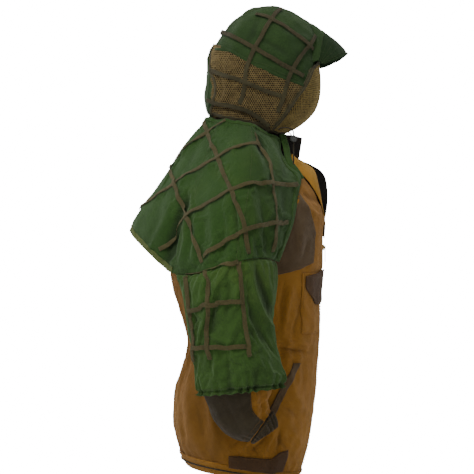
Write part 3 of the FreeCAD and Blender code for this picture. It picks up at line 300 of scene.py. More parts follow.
def cloth_mat(name, base, dark=0.72, light=1.18, hue=(0, 0, 0), pitch=1.1, weave=0.35, crumple=0.25, rough=0.92,
              sheen=0.25, twill=False, mottle=55.0, fade=None):
    """Woven cloth: base is linear colour; pitch is the thread pitch in mm of the drawn weave."""
    m = bpy.data.materials.new(name)
    m.use_nodes = True
    nt = m.node_tree
    nt.nodes.clear()
    out = node(nt, "ShaderNodeOutputMaterial")
    bs = node(nt, "ShaderNodeBsdfPrincipled")
    bs.inputs["Roughness"].default_value = rough
    bs.inputs["Specular IOR Level"].default_value = 0.18
    bs.inputs["Sheen Weight"].default_value = sheen
    bs.inputs["Sheen Roughness"].default_value = 0.6
    bs.inputs["Sheen Tint"].default_value = (min(1, base[0] * 4 + 0.2), min(1, base[1] * 4 + 0.2), min(1, base[2] * 4 + 0.2), 1)
    tc = node(nt, "ShaderNodeTexCoord")
    L = nt.links.new
    # broad fading and dye mottle
    n1 = node(nt, "ShaderNodeTexNoise", in_Scale=1000.0 / mottle / 6.0, in_Detail=3.0, in_Roughness=0.55)
    n2 = node(nt, "ShaderNodeTexNoise", in_Scale=1000.0 / mottle * 1.7, in_Detail=5.0, in_Roughness=0.6)
    n3 = node(nt, "ShaderNodeTexNoise", in_Scale=1100.0, in_Detail=2.0)
    for n in (n1, n2, n3):
        L(tc.outputs["Object"], n.inputs["Vector"])
    mix = node(nt, "ShaderNodeMath", operation="MULTIPLY_ADD")
    mix.inputs[1].default_value = 0.55
    L(n1.outputs["Fac"], mix.inputs[0])
    s2 = node(nt, "ShaderNodeMath", operation="MULTIPLY")
    s2.inputs[1].default_value = 0.30
    L(n2.outputs["Fac"], s2.inputs[0])
    L(s2.outputs[0], mix.inputs[2])
    s3 = node(nt, "ShaderNodeMath", operation="MULTIPLY_ADD")
    s3.inputs[1].default_value = 0.15
    L(n3.outputs["Fac"], s3.inputs[0])
    L(mix.outputs[0], s3.inputs[2])
    ramp = node(nt, "ShaderNodeValToRGB")
    ramp.color_ramp.elements[0].position = 0.34
    ramp.color_ramp.elements[1].position = 0.66
    c0 = [max(0, b * dark + h * 0.5) for b, h in zip(base, hue)]
    c1 = [b * light for b in (fade or base)]
    ramp.color_ramp.elements[0].color = (*c0, 1)
    ramp.color_ramp.elements[1].color = (*c1, 1)
    e = ramp.color_ramp.elements.new(0.5)
    e.color = (*base, 1)
    L(s3.outputs[0], ramp.inputs["Fac"])
    # weave
    sep = node(nt, "ShaderNodeSeparateXYZ")
    L(tc.outputs["UV"], sep.inputs[0])

    def wave(sock, k):
        a = node(nt, "ShaderNodeMath", operation="MULTIPLY")
        a.inputs[1].default_value = k
        L(sock, a.inputs[0])
        b = node(nt, "ShaderNodeMath", operation="SINE")
        L(a.outputs[0], b.inputs[0])
        return b.outputs[0]
    k = 2 * math.pi / (pitch * MM)
    if twill:
        add = node(nt, "ShaderNodeMath", operation="ADD")
        L(sep.outputs[0], add.inputs[0])
        L(sep.outputs[1], add.inputs[1])
        h = wave(add.outputs[0], k)
    else:
        wx, wy = wave(sep.outputs[0], k), wave(sep.outputs[1], k)
        mul = node(nt, "ShaderNodeMath", operation="MULTIPLY")
        L(wx, mul.inputs[0])
        L(wy, mul.inputs[1])
        h = mul.outputs[0]
    # crumple: fine irregular creasing
    n4 = node(nt, "ShaderNodeTexNoise", in_Scale=85.0, in_Detail=6.0, in_Roughness=0.62, in_Distortion=0.4)
    L(tc.outputs["Object"], n4.inputs["Vector"])
    b1 = node(nt, "ShaderNodeBump", in_Strength=crumple, in_Distance=0.004)
    L(n4.outputs["Fac"], b1.inputs["Height"])
    b2 = node(nt, "ShaderNodeBump", in_Strength=weave, in_Distance=0.0004)
    L(h, b2.inputs["Height"])
    L(b1.outputs["Normal"], b2.inputs["Normal"])
    L(b2.outputs["Normal"], bs.inputs["Normal"])
    # thread tone follows the weave a little
    tone = node(nt, "ShaderNodeMix", data_type="RGBA", blend_type="MULTIPLY")
    tone.inputs[0].default_value = 0.35
    half = node(nt, "ShaderNodeMath", operation="MULTIPLY_ADD")
    half.inputs[1].default_value = 0.16
    half.inputs[2].default_value = 0.92
    L(h, half.inputs[0])
    comb = node(nt, "ShaderNodeCombineColor")
    for i in range(3):
        L(half.outputs[0], comb.inputs[i])
    L(ramp.outputs["Color"], tone.inputs[6])
    L(comb.outputs[0], tone.inputs[7])
    # darker where the shade vertex attribute is high: painted shade in fold valleys, and darker regions set per piece
    at = node(nt, "ShaderNodeAttribute", attribute_name="shade")
    dk = node(nt, "ShaderNodeMath", operation="MULTIPLY_ADD")
    dk.inputs[1].default_value = -0.82
    dk.inputs[2].default_value = 1.0
    L(at.outputs["Fac"], dk.inputs[0])
    cc = node(nt, "ShaderNodeCombineColor")
    for i in range(3):
        L(dk.outputs[0], cc.inputs[i])
    painted_shade_mix = node(nt, "ShaderNodeMix", data_type="RGBA", blend_type="MULTIPLY")
    painted_shade_mix.inputs[0].default_value = 1.0
    L(tone.outputs[2], painted_shade_mix.inputs[6])
    L(cc.outputs[0], painted_shade_mix.inputs[7])
    L(painted_shade_mix.outputs[2], bs.inputs["Base Color"])
    L(bs.outputs[0], out.inputs["Surface"])
    return m


def plain_mat(name, base, rough=0.5, metal=0.0, bump=0.0, scale=300.0, spec=0.5):
    m = bpy.data.materials.new(name)
    m.use_nodes = True
    nt = m.node_tree
    bs = nt.nodes["Principled BSDF"]
    bs.inputs["Roughness"].default_value = rough
    bs.inputs["Metallic"].default_value = metal
    bs.inputs["Specular IOR Level"].default_value = spec
    tc = node(nt, "ShaderNodeTexCoord")
    n = node(nt, "ShaderNodeTexNoise", in_Scale=scale, in_Detail=4.0)
    nt.links.new(tc.outputs["Object"], n.inputs["Vector"])
    r = node(nt, "ShaderNodeValToRGB")
    r.color_ramp.elements[0].position, r.color_ramp.elements[1].position = 0.35, 0.7
    r.color_ramp.elements[0].color = (*[c * 0.7 for c in base], 1)
    r.color_ramp.elements[1].color = (*[c * 1.2 for c in base], 1)
    nt.links.new(n.outputs["Fac"], r.inputs["Fac"])
    nt.links.new(r.outputs["Color"], bs.inputs["Base Color"])
    rr = node(nt, "ShaderNodeMath", operation="MULTIPLY_ADD")
    rr.inputs[1].default_value = 0.25
    rr.inputs[2].default_value = rough - 0.12
    nt.links.new(n.outputs["Fac"], rr.inputs[0])
    nt.links.new(rr.outputs[0], bs.inputs["Roughness"])
    if bump:
        b = node(nt, "ShaderNodeBump", in_Strength=bump, in_Distance=0.0006)
        nt.links.new(n.outputs["Fac"], b.inputs["Height"])
        nt.links.new(b.outputs["Normal"], bs.inputs["Normal"])
    return m


def tone(c, m):
    return tuple(a * b for a, b in zip(c, m))


GREEN = cloth_mat("cape_green", tone(srgb(58, 92, 42), (0.3238, 0.3875, 0.1948)), fade=tone(srgb(70, 96, 48), (0.3238, 0.3875, 0.1948)), pitch=1.3, crumple=0.30, mottle=60)
SLEEVE_GREEN = cloth_mat("sleeve_green", tone(srgb(54, 86, 38), (0.598, 0.5896, 0.3612)), fade=tone(srgb(68, 92, 45), (0.598, 0.5896, 0.3612)), pitch=1.3, crumple=0.30, mottle=60)
HOOD_GREEN = cloth_mat("hood_green", tone(srgb(44, 66, 34), (0.4662, 0.5627, 0.3251)), fade=tone(srgb(54, 72, 40), (0.4662, 0.5627, 0.3251)), pitch=1.3, crumple=0.32, mottle=50)
PEAK_GREEN = cloth_mat("peak_green", tone(srgb(38, 60, 26), (0.155, 0.34, 0.022)), fade=tone(srgb(46, 66, 34), (0.155, 0.34, 0.022)), pitch=1.3, crumple=0.18, mottle=50)
BROWN = cloth_mat("brown_drill", tone(srgb(72, 52, 38), (0.9315, 1.125, 0.915)), fade=tone(srgb(82, 62, 48), (0.9315, 1.125, 0.915)), pitch=1.1, twill=True, crumple=0.28, mottle=70)
ARM_BROWN = cloth_mat("arm_brown", tone(srgb(56, 46, 32), (0.64, 0.68, 0.56)), fade=tone(srgb(68, 56, 42), (0.64, 0.68, 0.56)), pitch=1.1, twill=True, crumple=0.28, mottle=60)
MUSTARD = cloth_mat("mustard_drill", tone(srgb(136, 92, 30), (0.7144, 0.7392, 0.527)), fade=tone(srgb(146, 102, 40), (0.7144, 0.7392, 0.527)), dark=0.74, pitch=1.1, twill=True, crumple=0.32, mottle=75)
MUSTARD_LIGHT = cloth_mat("mustard_lapel", tone(srgb(136, 92, 34), (1.1, 1.22, 1.0)), fade=tone(srgb(148, 106, 46), (1.1, 1.22, 1.0)), dark=0.74, pitch=1.1, twill=True, crumple=0.32, mottle=60)
FLAP_BROWN = cloth_mat("brown_flap", tone(srgb(72, 52, 38), (0.67, 0.63, 0.40)), fade=tone(srgb(82, 62, 48), (0.67, 0.63, 0.40)), pitch=1.1, twill=True, crumple=0.28, mottle=70)
LINING = cloth_mat("black_lining", srgb(18, 15, 13), fade=srgb(26, 22, 19), pitch=0.9, crumple=0.15, sheen=0.1)
TAPE = cloth_mat("garnish_tape", tone(srgb(92, 78, 52), (0.4464, 0.5328, 0.385)), fade=tone(srgb(104, 88, 62), (0.4464, 0.5328, 0.385)), pitch=1.6, weave=0.8, crumple=0.12, mottle=40)
TAPE_DARK = cloth_mat("garnish_tape_dark", tone(srgb(74, 60, 40), (0.434, 0.56, 0.462)), fade=tone(srgb(86, 72, 50), (0.434, 0.56, 0.462)), pitch=1.6, weave=0.8, crumple=0.12, mottle=40)
HEM_TAPE = cloth_mat("hem_tape", tone(srgb(76, 84, 46), (0.72, 0.78, 0.56)), fade=tone(srgb(86, 92, 54), (0.72, 0.78, 0.56)), pitch=1.6, weave=0.8, crumple=0.15, mottle=40)
NET = cloth_mat("open_net", tone(srgb(122, 98, 58), (0.65, 0.76, 0.83)), fade=tone(srgb(138, 112, 68), (0.65, 0.76, 0.83)), pitch=0.8, weave=0.3, crumple=0.1, sheen=0.15, mottle=45)
VEIL_NET = cloth_mat("veil_net", tone(srgb(104, 84, 50), (1.4547, 1.656, 1.518)), fade=tone(srgb(120, 98, 60), (1.4547, 1.656, 1.518)), pitch=0.8, weave=0.3, crumple=0.1, sheen=0.15, mottle=45)
THREAD = cloth_mat("sewing_thread", srgb(60, 66, 40), fade=srgb(74, 80, 50), pitch=0.6, weave=0.6, crumple=0.0)
THREAD_M = cloth_mat("thread_mustard", srgb(104, 74, 34), fade=srgb(120, 86, 42), pitch=0.6, weave=0.6, crumple=0.0)
CORD = cloth_mat("braided_cord", srgb(44, 38, 24), fade=srgb(54, 48, 32), pitch=1.2, weave=1.0, crumple=0.0)
BRASS = plain_mat("zip_brass", (0.32, 0.22, 0.09), rough=0.42, metal=0.9, bump=0.3)
PLASTIC = plain_mat("lock_plastic", (0.018, 0.019, 0.016), rough=0.45, bump=0.15)
STEEL = plain_mat("spring_steel", (0.5, 0.5, 0.5), rough=0.3, metal=1.0)

def inside_shadow_mat():
    """Dark sheet behind the nets: painted shadow for the dark inside of the hood and veil."""
    m = plain_mat("painted_inside_shadow", srgb(30, 22, 13), rough=0.95, spec=0.1)
    return m


INSIDE_SHADOW = inside_shadow_mat()

# ------------------------------------------------------------------ surfaces sampled on fine grids
class Sheet:
    """A fine cloth grid: P (nr, nc, 3) in mm, N normals, with parameter ranges a (rows) and b (columns)."""
    def __init__(self, P, N, a, b, wrap=False):
        self.P, self.N, self.a, self.b, self.wrap = P, N, a, b, wrap

    def _at(self, A, r, c):
        nr, nc = A.shape[:2]
        i = np.clip((np.asarray(r, float) - self.a[0]) / (self.a[1] - self.a[0]) * (nr - 1), 0, nr - 1.0001)
        if self.wrap:
            j = (np.asarray(c, float) - self.b[0]) / (self.b[1] - self.b[0]) * nc % nc
        else:
            j = np.clip((np.asarray(c, float) - self.b[0]) / (self.b[1] - self.b[0]) * (nc - 1), 0, nc - 1.0001)
        i0, j0 = i.astype(int), j.astype(int)
        j1 = (j0 + 1) % nc if self.wrap else j0 + 1
        f, g = (i - i0)[..., None], (j - j0)[..., None]
        return (A[i0, j0] * (1 - f) * (1 - g) + A[i0 + 1, j0] * f * (1 - g) + A[i0, j1] * (1 - f) * g + A[i0 + 1, j1] * f * g)

    def pos(self, r, c):
        return self._at(self.P, r, c)

    def nor(self, r, c):
        n = self._at(self.N, r, c)
        return n / (np.linalg.norm(n, axis=-1, keepdims=True) + 1e-9)


def resample(path, extra, step):
    """Even spacing along a polyline in mm; extra arrays ride along."""
    d = np.concatenate([[0], np.cumsum(np.linalg.norm(np.diff(path, axis=0), axis=1))])
    n = max(6, int(round(d[-1] / step)) + 1)
    t = np.linspace(0, d[-1], n)
    f = lambda A: np.stack([np.interp(t, d, A[:, k]) for k in range(A.shape[1])], -1)
    return f(path), [f(e) for e in extra], t


def soften(A, n):
    for _ in range(n):
        B = A.copy()
        B[1:-1] = (A[:-2] + 2 * A[1:-1] + A[2:]) / 4
        A = B
    return A


STITCHES = {}


def stitch_line(key, pts, nor, pitch=3.4, length=2.3, r=0.42, lift=0.35):
    """Row of raised thread stitches along a path in mm; collected per key (body, material)."""
    p, (n,), t = resample(np.asarray(pts, float), [np.asarray(nor, float)], pitch)
    n /= np.linalg.norm(n, axis=1, keepdims=True) + 1e-9
    tan = np.gradient(p, axis=0)
    tan /= np.linalg.norm(tan, axis=1, keepdims=True) + 1e-9
    side = np.cross(n, tan)
    c = p + n * lift
    V = np.stack([c - tan * length / 2, c + side * r, c + n * r * 0.9, c - side * r, c - n * r * 0.9, c + tan * length / 2], 1)
    STITCHES.setdefault(key, []).append(V.reshape(-1, 3))


def flush_stitches():
    tri = np.array([(0, 2, 1), (0, 3, 2), (0, 4, 3), (0, 1, 4), (5, 1, 2), (5, 2, 3), (5, 3, 4), (5, 4, 1)])
    for (body, mat, tag, slot), groups in STITCHES.items():
        V = np.concatenate(groups)
        k = len(V) // 6
        F = (tri[None] + 6 * np.arange(k)[:, None, None]).reshape(-1, 3)
        ob = face_mesh("stitches_" + tag, V, F)
        put(ob, body, mat)


def tape_strip(name, body, mat, sheet, ctl, width=9.6, thick=0.8, lift=0.9, bow=2.6, tacks=None, seed=1, rc=None, ends=True,
               wave=0.25, stiff=130):
    """Woven tape laid over a Sheet along control points (r, c); it stands off in low loops between its tacks."""
    r = np.random.default_rng(seed)
    ctl = np.asarray(ctl, float)
    q = cat(ctl, np.linspace(0, len(ctl) - 1, 60 * (len(ctl) - 1)))
    P, N = sheet.pos(q[:, 0], q[:, 1]), sheet.nor(q[:, 0], q[:, 1])
    P, (N, Q), t = resample(P, [N, q], 2.4)
    N = soften(N, 6)
    N /= np.linalg.norm(N, axis=1, keepdims=True)
    S = soften(P, stiff)
    off = ((S - P) * N).sum(1)
    L = t[-1]
    if tacks is None:
        tacks = np.linspace(0, L, max(2, int(round(L / 48)) + 1))
    loop = np.zeros(len(t))
    for a, b in zip(tacks[:-1], tacks[1:]):
        m = (t >= a) & (t <= b)
        h = bow * r.uniform(0.15, 1.0) * min(1.0, (b - a) / 40.0)
        loop[m] = h * np.sin(np.pi * (t[m] - a) / (b - a + 1e-9)) ** 1.3
    up = np.maximum(-off, 0.0)
    up = np.max([np.roll(np.pad(up, 7, mode="edge"), k)[7:-7] for k in range(-7, 8)], axis=0)
    d = soften(soften(up, 40) + loop, 3) + lift
    C = S + N * d[:, None]
    tan = np.gradient(C, axis=0)
    tan /= np.linalg.norm(tan, axis=1, keepdims=True)
    side = np.cross(N, tan)
    side /= np.linalg.norm(side, axis=1, keepdims=True)
    nn = np.cross(tan, side)
    sway = wave * np.sin(t / r.uniform(38, 60) * 2 * np.pi + r.uniform(0, 6)) * np.clip(t / 20, 0, 1) * np.clip((L - t) / 20, 0, 1)
    roll = 0.10 * np.sin(t / r.uniform(45, 80) * 2 * np.pi + r.uniform(0, 6)) * (loop > 0.2)
    cols = np.linspace(-0.5, 0.5, 7)
    grid = []
    for x in cols:
        e = (abs(x) * 2) ** 4 * 0.25
        grid.append(C + side * (x * width + sway)[:, None] + nn * (roll * x * width - e)[:, None])
    G = np.stack(grid, 1)
    ob = grid_mesh(name, G)
    thicken(ob, thick, 0.0)
    b = ob.modifiers.new("edge", "BEVEL")
    b.width, b.segments, b.limit_method = 0.25 * MM, 1, "ANGLE"
    # bar tacks
    key = (body, THREAD, "tacks_" + body, "garnish_tape")
    for a in tacks:
        i = int(np.argmin(abs(t - a)))
        i = min(max(i, 2), len(t) - 3)
        for k in (-1.2, 1.2):
            c = C[i] + tan[i] * k
            line = np.stack([c - side[i] * (width * 0.42) + side[i] * sway[i], c + side[i] * (width * 0.42) + side[i] * sway[i]])
            stitch_line(key, line, np.stack([nn[i]] * 2), pitch=1.4, length=1.2, r=0.34, lift=thick * 0.5 + 0.25)
    return ob, G, nn


# ------------------------------------------------------------------ cape
CAPE = np.array([
    [(207.0, 117.5, 0), (207.8, 117.7, -32), (214, 118.5, -62), (223, 119.5, -86), (236, 121, -99), (250, 124, -99), (266, 131, -82), (281, 140, -54)],
    [(189.6, 137.5, 0), (190.8, 137.3, -45), (200, 137, -85), (212, 137, -120), (230, 136, -148), (252, 136, -152), (270, 143, -118), (281.5, 152, -66)],
    [(171, 165.6, 0), (172.5, 164.8, -58), (186, 162, -112), (202, 160, -162), (226, 157, -204), (252, 153, -214), (275, 158, -168), (290, 166, -92)],
    [(157, 186, 0), (158.8, 186, -68), (172.5, 187, -132), (194, 188, -192), (221, 184, -244), (250, 178, -262), (277, 180, -206), (301, 177, -112)],
    [(144, 203, 0), (146, 204.5, -76), (162.5, 211, -148), (186, 217, -212), (214, 212, -274), (246, 205, -296), (275, 205, -244), (298, 195, -144)],
    [(133.5, 219, 0), (136.5, 222, -82), (152.5, 234, -158), (179, 246, -222), (208, 242, -292), (240, 233, -318), (270, 232, -274), (293, 224, -182)],
    [(131, 230, 0), (134, 236.5, -84), (149, 253, -162), (172, 273, -224), (203, 272, -300), (236, 262, -332), (263, 258, -302), (279, 262, -232)],
], float)
MIR = CAPE[:, :0:-1].copy()
MIR[..., 2] *= -1
CAPE15 = np.concatenate([MIR, CAPE], 1)          # columns -7 .. 7, positive c on the wearer's right

CAPE_FOLDS = [
    ([(186, 198), (182, 210), (177, 222), (173, 236), (170, 252), (167, 264)], 6.0, -17.0, 0.55),
    ([(190, 212), (187.5, 228), (185.5, 246), (182, 264)], 5.5, 10.0, -0.3),
    ([(193, 220), (192, 240), (189.5, 258)], 3.0, -6.0, 0.3),
    ([(199, 214), (197, 236), (194, 262)], 3.8, 5.0),
    ([(204, 222), (203, 240), (201, 256)], 2.6, -3.6),
    ([(172, 200), (166, 214), (158, 230), (151, 244)], 6.5, 5.0),
    ([(163, 212), (156, 226), (149, 240)], 4.0, -3.5),
    ([(256.0, 131), (262, 142), (266.4, 157)], 3.4, -9.5, 0.5),
    ([(247.6, 139), (256, 152), (262, 168), (266, 186)], 5.0, 6.0, 0.4),
    ([(272, 140), (278, 156), (282, 172)], 4.0, 4.5),
    ([(279, 142), (284, 156), (290, 168)], 2.6, -4.5),
    ([(218, 128), (226, 146), (234, 166)], 7.0, 4.0),
    ([(205, 140), (212, 160), (218, 182)], 6.0, -3.5),
    ([(188, 150), (184, 168), (180, 186)], 6.0, 3.5),
    ([(229, 168), (236, 186), (241, 206), (244, 228)], 6.5, 4.0),
    ([(234, 200), (236.5, 220), (238, 244)], 3.0, -6.5, 0.4),
    ([(252, 194), (254.5, 216), (256, 240)], 5.0, 4.2),
    ([(262, 200), (264, 222), (265, 250)], 3.6, -4.5),
    ([(274, 206), (274, 228), (272, 252)], 4.0, 4.0),
    ([(284, 186), (286, 206), (283, 230)], 4.0, -4.0),
    ([(208, 196), (211, 214), (213, 236), (212, 258)], 5.0, 4.2),
    ([(222, 210), (223, 230), (222, 256)], 3.6, -4.6),
    ([(246, 236), (247, 246), (248, 257)], 1.9, -3.6),
    ([(251.5, 238), (252.5, 248), (253, 257)], 1.7, 3.0),
    ([(257, 238), (258, 248), (259, 256)], 1.8, -3.2),
    ([(268, 236), (268, 247), (268, 256)], 1.8, -3.2),
    ([(240, 242), (241, 251), (242, 260)], 1.6, -3.2),
    ([(262, 240), (263, 249), (263, 257)], 1.5, 2.6),
    ([(274, 240), (274, 249), (273, 257)], 1.5, 2.4),
]


def cape_grid(nr, nc, lift=0.0, amp=1.0):
    r, c = np.meshgrid(np.linspace(0, 6, nr), np.linspace(-7, 7, nc), indexing="ij")
    q = grid_eval(CAPE15, r, c + 7)
    P = draft(q[..., 0], q[..., 1], q[..., 2])
    N = outward(normals_of(P), P, (0, -10, 480))
    U, W = q[..., 0], q[..., 1]
    d = creases(U, W, CAPE_FOLDS)
    # the far side hangs its own way: shifted copy of the folds
    far = creases(U + 5.0 * np.sin(W / 23.0), W + 4.0 * np.cos(U / 19.0), CAPE_FOLDS)
    side = smooth(-0.6, 0.6, c)
    d = d * side + far * (1 - side)
    X = c * 62.0
    Y = r * 58.0
    nz1, nz2 = Noise(3), Noise(4, lo=0.8, hi=1.6)
    d = d + 1.5 * nz1(X, Y * 0.5, 150.0) + 0.7 * nz2(X, Y * 0.6, 60.0)
    # soft gathers hanging from the neck seam and the lower edge of the shoulders
    neck = np.exp(-(r / 0.55) ** 2)
    d = d + neck * 1.8 * np.sin(X / 13.0 + 1.5 * np.sin(X / 41.0))
    low = smooth(5.0, 6.0, r) * smooth(3.0, 3.6, np.abs(c))
    d = d + low * 2.2 * np.sin(X / 7.5 + 1.2 * np.sin(X / 23.0))
    d = d * (1 - 0.75 * smooth(6.5, 7.0, np.abs(c)))
    # keep the outline where the folds meet it
    P = P + N * (d * amp + lift)[..., None]
    # painted shade: darker in the fold valleys and towards the front, where the light falls off
    sh = 0.70 * smooth(1.5, 11.0, -d) + 0.30 * smooth(232, 262, U)
    return r, c, P, sh


CR, CC, CP, CAPE_PAINTED_SHADE = cape_grid(150, 481)


# ------------------------------------------------------------------ cloth settling
def settle(P, pins, frames=14, grow=0.02, cap=7.0, step=(3, 3), stiff=8.0, gravity=1.0, wrap=False, seed=0, mass=0.2, bend=0.6):
    """Cloth simulation on a coarser copy of the grid P (mm).  The cloth is cut a little large so it buckles between its
    pins; the move is capped, spread back over the fine grid and returned.  No Cloth modifier stays on any piece."""
    nr, nc = P.shape[:2]
    ri = np.unique(np.concatenate([np.arange(0, nr, step[0]), [nr - 1]]))
    ci = np.unique(np.concatenate([np.arange(0, nc, step[1]), [nc - 1]])) if not wrap else np.arange(0, nc, step[1])
    C = P[np.ix_(ri, ci)]
    ob = grid_mesh("settle_work", C, closed_u=wrap)
    pin = pins[np.ix_(ri, ci)].ravel()
    vg = ob.vertex_groups.new(name="pin")
    for w in np.unique(pin):
        if w > 0:
            vg.add([int(k) for k in np.nonzero(pin == w)[0]], float(w), "REPLACE")
    md = ob.modifiers.new("Cloth", "CLOTH")
    s = md.settings
    s.quality = 5
    s.mass = mass
    s.vertex_group_mass = "pin"
    s.tension_stiffness = s.compression_stiffness = stiff
    s.shear_stiffness = stiff * 0.5
    s.bending_stiffness = bend
    s.shrink_min = s.shrink_max = -grow
    s.effector_weights.gravity = gravity
    s.air_damping = 3.0
    md.collision_settings.use_self_collision = False
    md.collision_settings.use_collision = False
    md.point_cache.frame_start, md.point_cache.frame_end = 1, frames + 2
    sc = bpy.context.scene
    sc.frame_start, sc.frame_end = 1, frames + 2
    for f in range(1, frames + 1):
        sc.frame_set(f)
    dg = bpy.context.evaluated_depsgraph_get()
    ev = ob.evaluated_get(dg)
    me = ev.to_mesh()
    co = np.zeros(len(me.vertices) * 3)
    me.vertices.foreach_get("co", co)
    Q = co.reshape(C.shape) / MM
    ev.to_mesh_clear()
    sc.frame_set(1)
    data = ob.data
    bpy.data.objects.remove(ob)
    bpy.data.meshes.remove(data)
    D = Q - C
    ln = np.linalg.norm(D, axis=-1, keepdims=True)
    D = D * np.minimum(1.0, cap / (ln + 1e-9))
    D[~np.isfinite(D)] = 0
    # spread the move over the fine grid
    if wrap:
        D = np.concatenate([D, D[:, :1]], 1)
        ci = np.concatenate([ci, [nc]])
    fi = np.interp(np.arange(nr), ri, np.arange(len(ri)))
    fj = np.interp(np.arange(nc), ci, np.arange(len(ci)))
    A = cat(D.reshape(len(D), -1), fi).reshape(nr, D.shape[1], 3)
    A = cat(A.transpose(1, 0, 2).reshape(A.shape[1], -1), fj).reshape(nc, nr, 3).transpose(1, 0, 2)
    return P + A


def cape_pins():
    """Held at the neck, the front edges, the lower edge, and along the sewn tape grid."""
    p = np.zeros(CR.shape)
    p[CR < 0.12] = 1
    p[CR > 5.9] = 1
    p[np.abs(CC) > 6.9] = 1
    for path in CAPE_LONG + CAPE_ACROSS:
        for sgn in (1, -1):
            q = cat(np.asarray(path, float), np.linspace(0, len(path) - 1, 40))
            for rr, cc in q[::8]:
                m = ((CR - rr) * 58) ** 2 + ((CC - cc * sgn) * 55) ** 2 < 7.0 ** 2
                p[m] = 1
    return p


def settle_far(P):
    return P


_q = grid_eval(CAPE15, CR, CC + 7)


def cape_rc(u, w):
    """Cape parameters of a point drawn in the side elevation, on the wearer's right."""
    m = CC >= 0
    d = (_q[..., 0] - u) ** 2 + (_q[..., 1] - w) ** 2 + np.where(m, 0, 1e6)
    k = int(np.argmin(d))
    r, c = float(CR.ravel()[k]), float(CC.ravel()[k])
    for _ in range(4):
        r0, c0 = min(max(r, 0.02), 5.98), min(max(c, -6.98), 6.98)
        f = lambda a, b: grid_eval(CAPE15, np.array([a]), np.array([b]) + 7)[0, :2]
        p = f(r0, c0)
        J = np.stack([(f(r0 + 0.02, c0) - f(r0 - 0.02, c0)) / 0.04, (f(r0, c0 + 0.02) - f(r0, c0 - 0.02)) / 0.04], 1)
        if abs(np.linalg.det(J)) < 4.0:
            break
        dlt = np.clip(np.linalg.solve(J, np.array([u, w]) - p), -0.15, 0.15)
        r, c = min(max(r0 + float(dlt[0]), 0.02), 5.98), min(max(c0 + float(dlt[1]), 0.0), 6.98)
    return (r, c)


def rc_path(*pts):
    return [cape_rc(*p) for p in pts]


CAPE_LONG = [
    rc_path((204.5, 122.5), (208, 134), (213.5, 148), (219.5, 163), (226, 178), (233, 193), (238.5, 207), (243, 222), (246.5, 237), (249, 254)),
    rc_path((170, 171), (174, 180), (177.5, 190), (177.5, 198), (182, 206), (188, 217), (194, 230), (197, 243), (201, 255), (203, 263)),
    rc_path((256, 132), (261, 142), (267, 151), (269.5, 163), (271, 178), (272.5, 193), (275, 207), (274.5, 222), (273, 235), (271.5, 252)),
]
CAPE_ACROSS = [
    rc_path((226, 121.5), (216, 127), (207, 133), (198, 138.5), (189, 145.5), (182, 153), (176, 161)) + [(2.05, 0.0)],
    rc_path((262, 141), (250, 145), (236, 148.5), (222, 154.5), (210, 161), (198, 168), (186, 175), (174, 183.5), (162, 191), (152, 198)) + [(4.35, 0.0)],
    rc_path((297, 184), (285, 184), (271, 183.5), (255, 184.5), (243, 186), (234, 189), (224, 195), (213, 201), (201, 208), (190, 215.5),
            (185, 220), (180, 226), (175, 235), (168, 243), (159, 249)),
    rc_path((288, 222), (275, 223.5), (262, 225), (250, 227.5), (240, 234), (228, 240.5), (216, 248), (205, 257)),
]
CP = settle(CP, cape_pins(), frames=16, grow=0.020, cap=2.8, stiff=10, gravity=0.35, bend=0.35)
CN = outward(normals_of(CP), CP, (0, -10, 480))
CAPE_S = Sheet(CP, CN, (0, 6), (-7, 7))
ob = grid_mesh("cape", CP, shade=CAPE_PAINTED_SHADE)
thicken(ob, 1.3, -1.0 if False else 0.0)
put(ob, "suit", GREEN, ["cape_back_right", "cape_back_left", "cape_shoulder_right", "cape_shoulder_left",
                                      "cape_front_right", "cape_front_left"])


def band_on(sheet, name, body, mat, r0, r1, c0, c1, nr, nc, lift, thick, replaces=(), wobble=0.0, seed=0):
    """A strip lying on a Sheet between two parameter ranges (a hem, a binding, a facing)."""
    r, c = np.meshgrid(np.linspace(r0, r1, nr), np.linspace(c0, c1, nc), indexing="ij")
    if wobble:
        nz = Noise(seed + 50)
        r = r + wobble * nz(c * 60, r * 0, 40.0)
    P = sheet.pos(r, c) + sheet.nor(r, c) * lift
    ob = grid_mesh(name, P)
    thicken(ob, thick, 0.0)
    return put(ob, body, mat, replaces)


# olive tape turned round the free back edge, and bound front and neck edges
_c = np.linspace(-3.02, 3.02, 260)
_row = np.array([np.linalg.norm(CAPE_S.pos(6.0, v) - CAPE_S.pos(5.4, v)) / 0.6 for v in _c])
_A = 5.995 - (12.0 / _row)[None] * np.linspace(1, 0, 6)[:, None]
_B = np.repeat(_c[None], 6, 0)
ob = grid_mesh("cape_hem_tape_mesh", CAPE_S.pos(_A, _B) + CAPE_S.nor(_A, _B) * (1.5 + 0.5 * np.sin(_B * 19) * (1 - (_A - _A[:1]) / (5.995 - _A[:1])))[..., None])
thicken(ob, 1.1, 0.0)
put(ob, "suit", HEM_TAPE, ["cape_hem_tape"])
for sg, nm in ((1, "right"), (-1, "left")):
    band_on(CAPE_S, "cape_front_facing_" + nm, "suit", GREEN, 0.03, 5.95, sg * 6.80, sg * 6.985, 150, 4, 1.0, 0.9)
band_on(CAPE_S, "cape_neck_band", "suit", GREEN, 0.0, 0.17, -6.98, 6.98, 5, 300, 1.1, 1.0, (), 0.0)


FRONT_ROLL = [(281.5, 134.5, -55), (284.5, 142, -60), (287.0, 152, -69), (290.8, 163, -89), (297, 172.5, -106), (301, 179, -112)]


def stitch_on(sheet, body, ctl, tag, mat=None, lift=0.9, slot="green_cloth", n=40, **kw):
    ctl = np.asarray(ctl, float)
    q = cat(ctl, np.linspace(0, len(ctl) - 1, n * (len(ctl) - 1)))
    P, N = sheet.pos(q[:, 0], q[:, 1]), sheet.nor(q[:, 0], q[:, 1])
    stitch_line((body, mat or THREAD, tag, slot), P + N * lift, N, **kw)


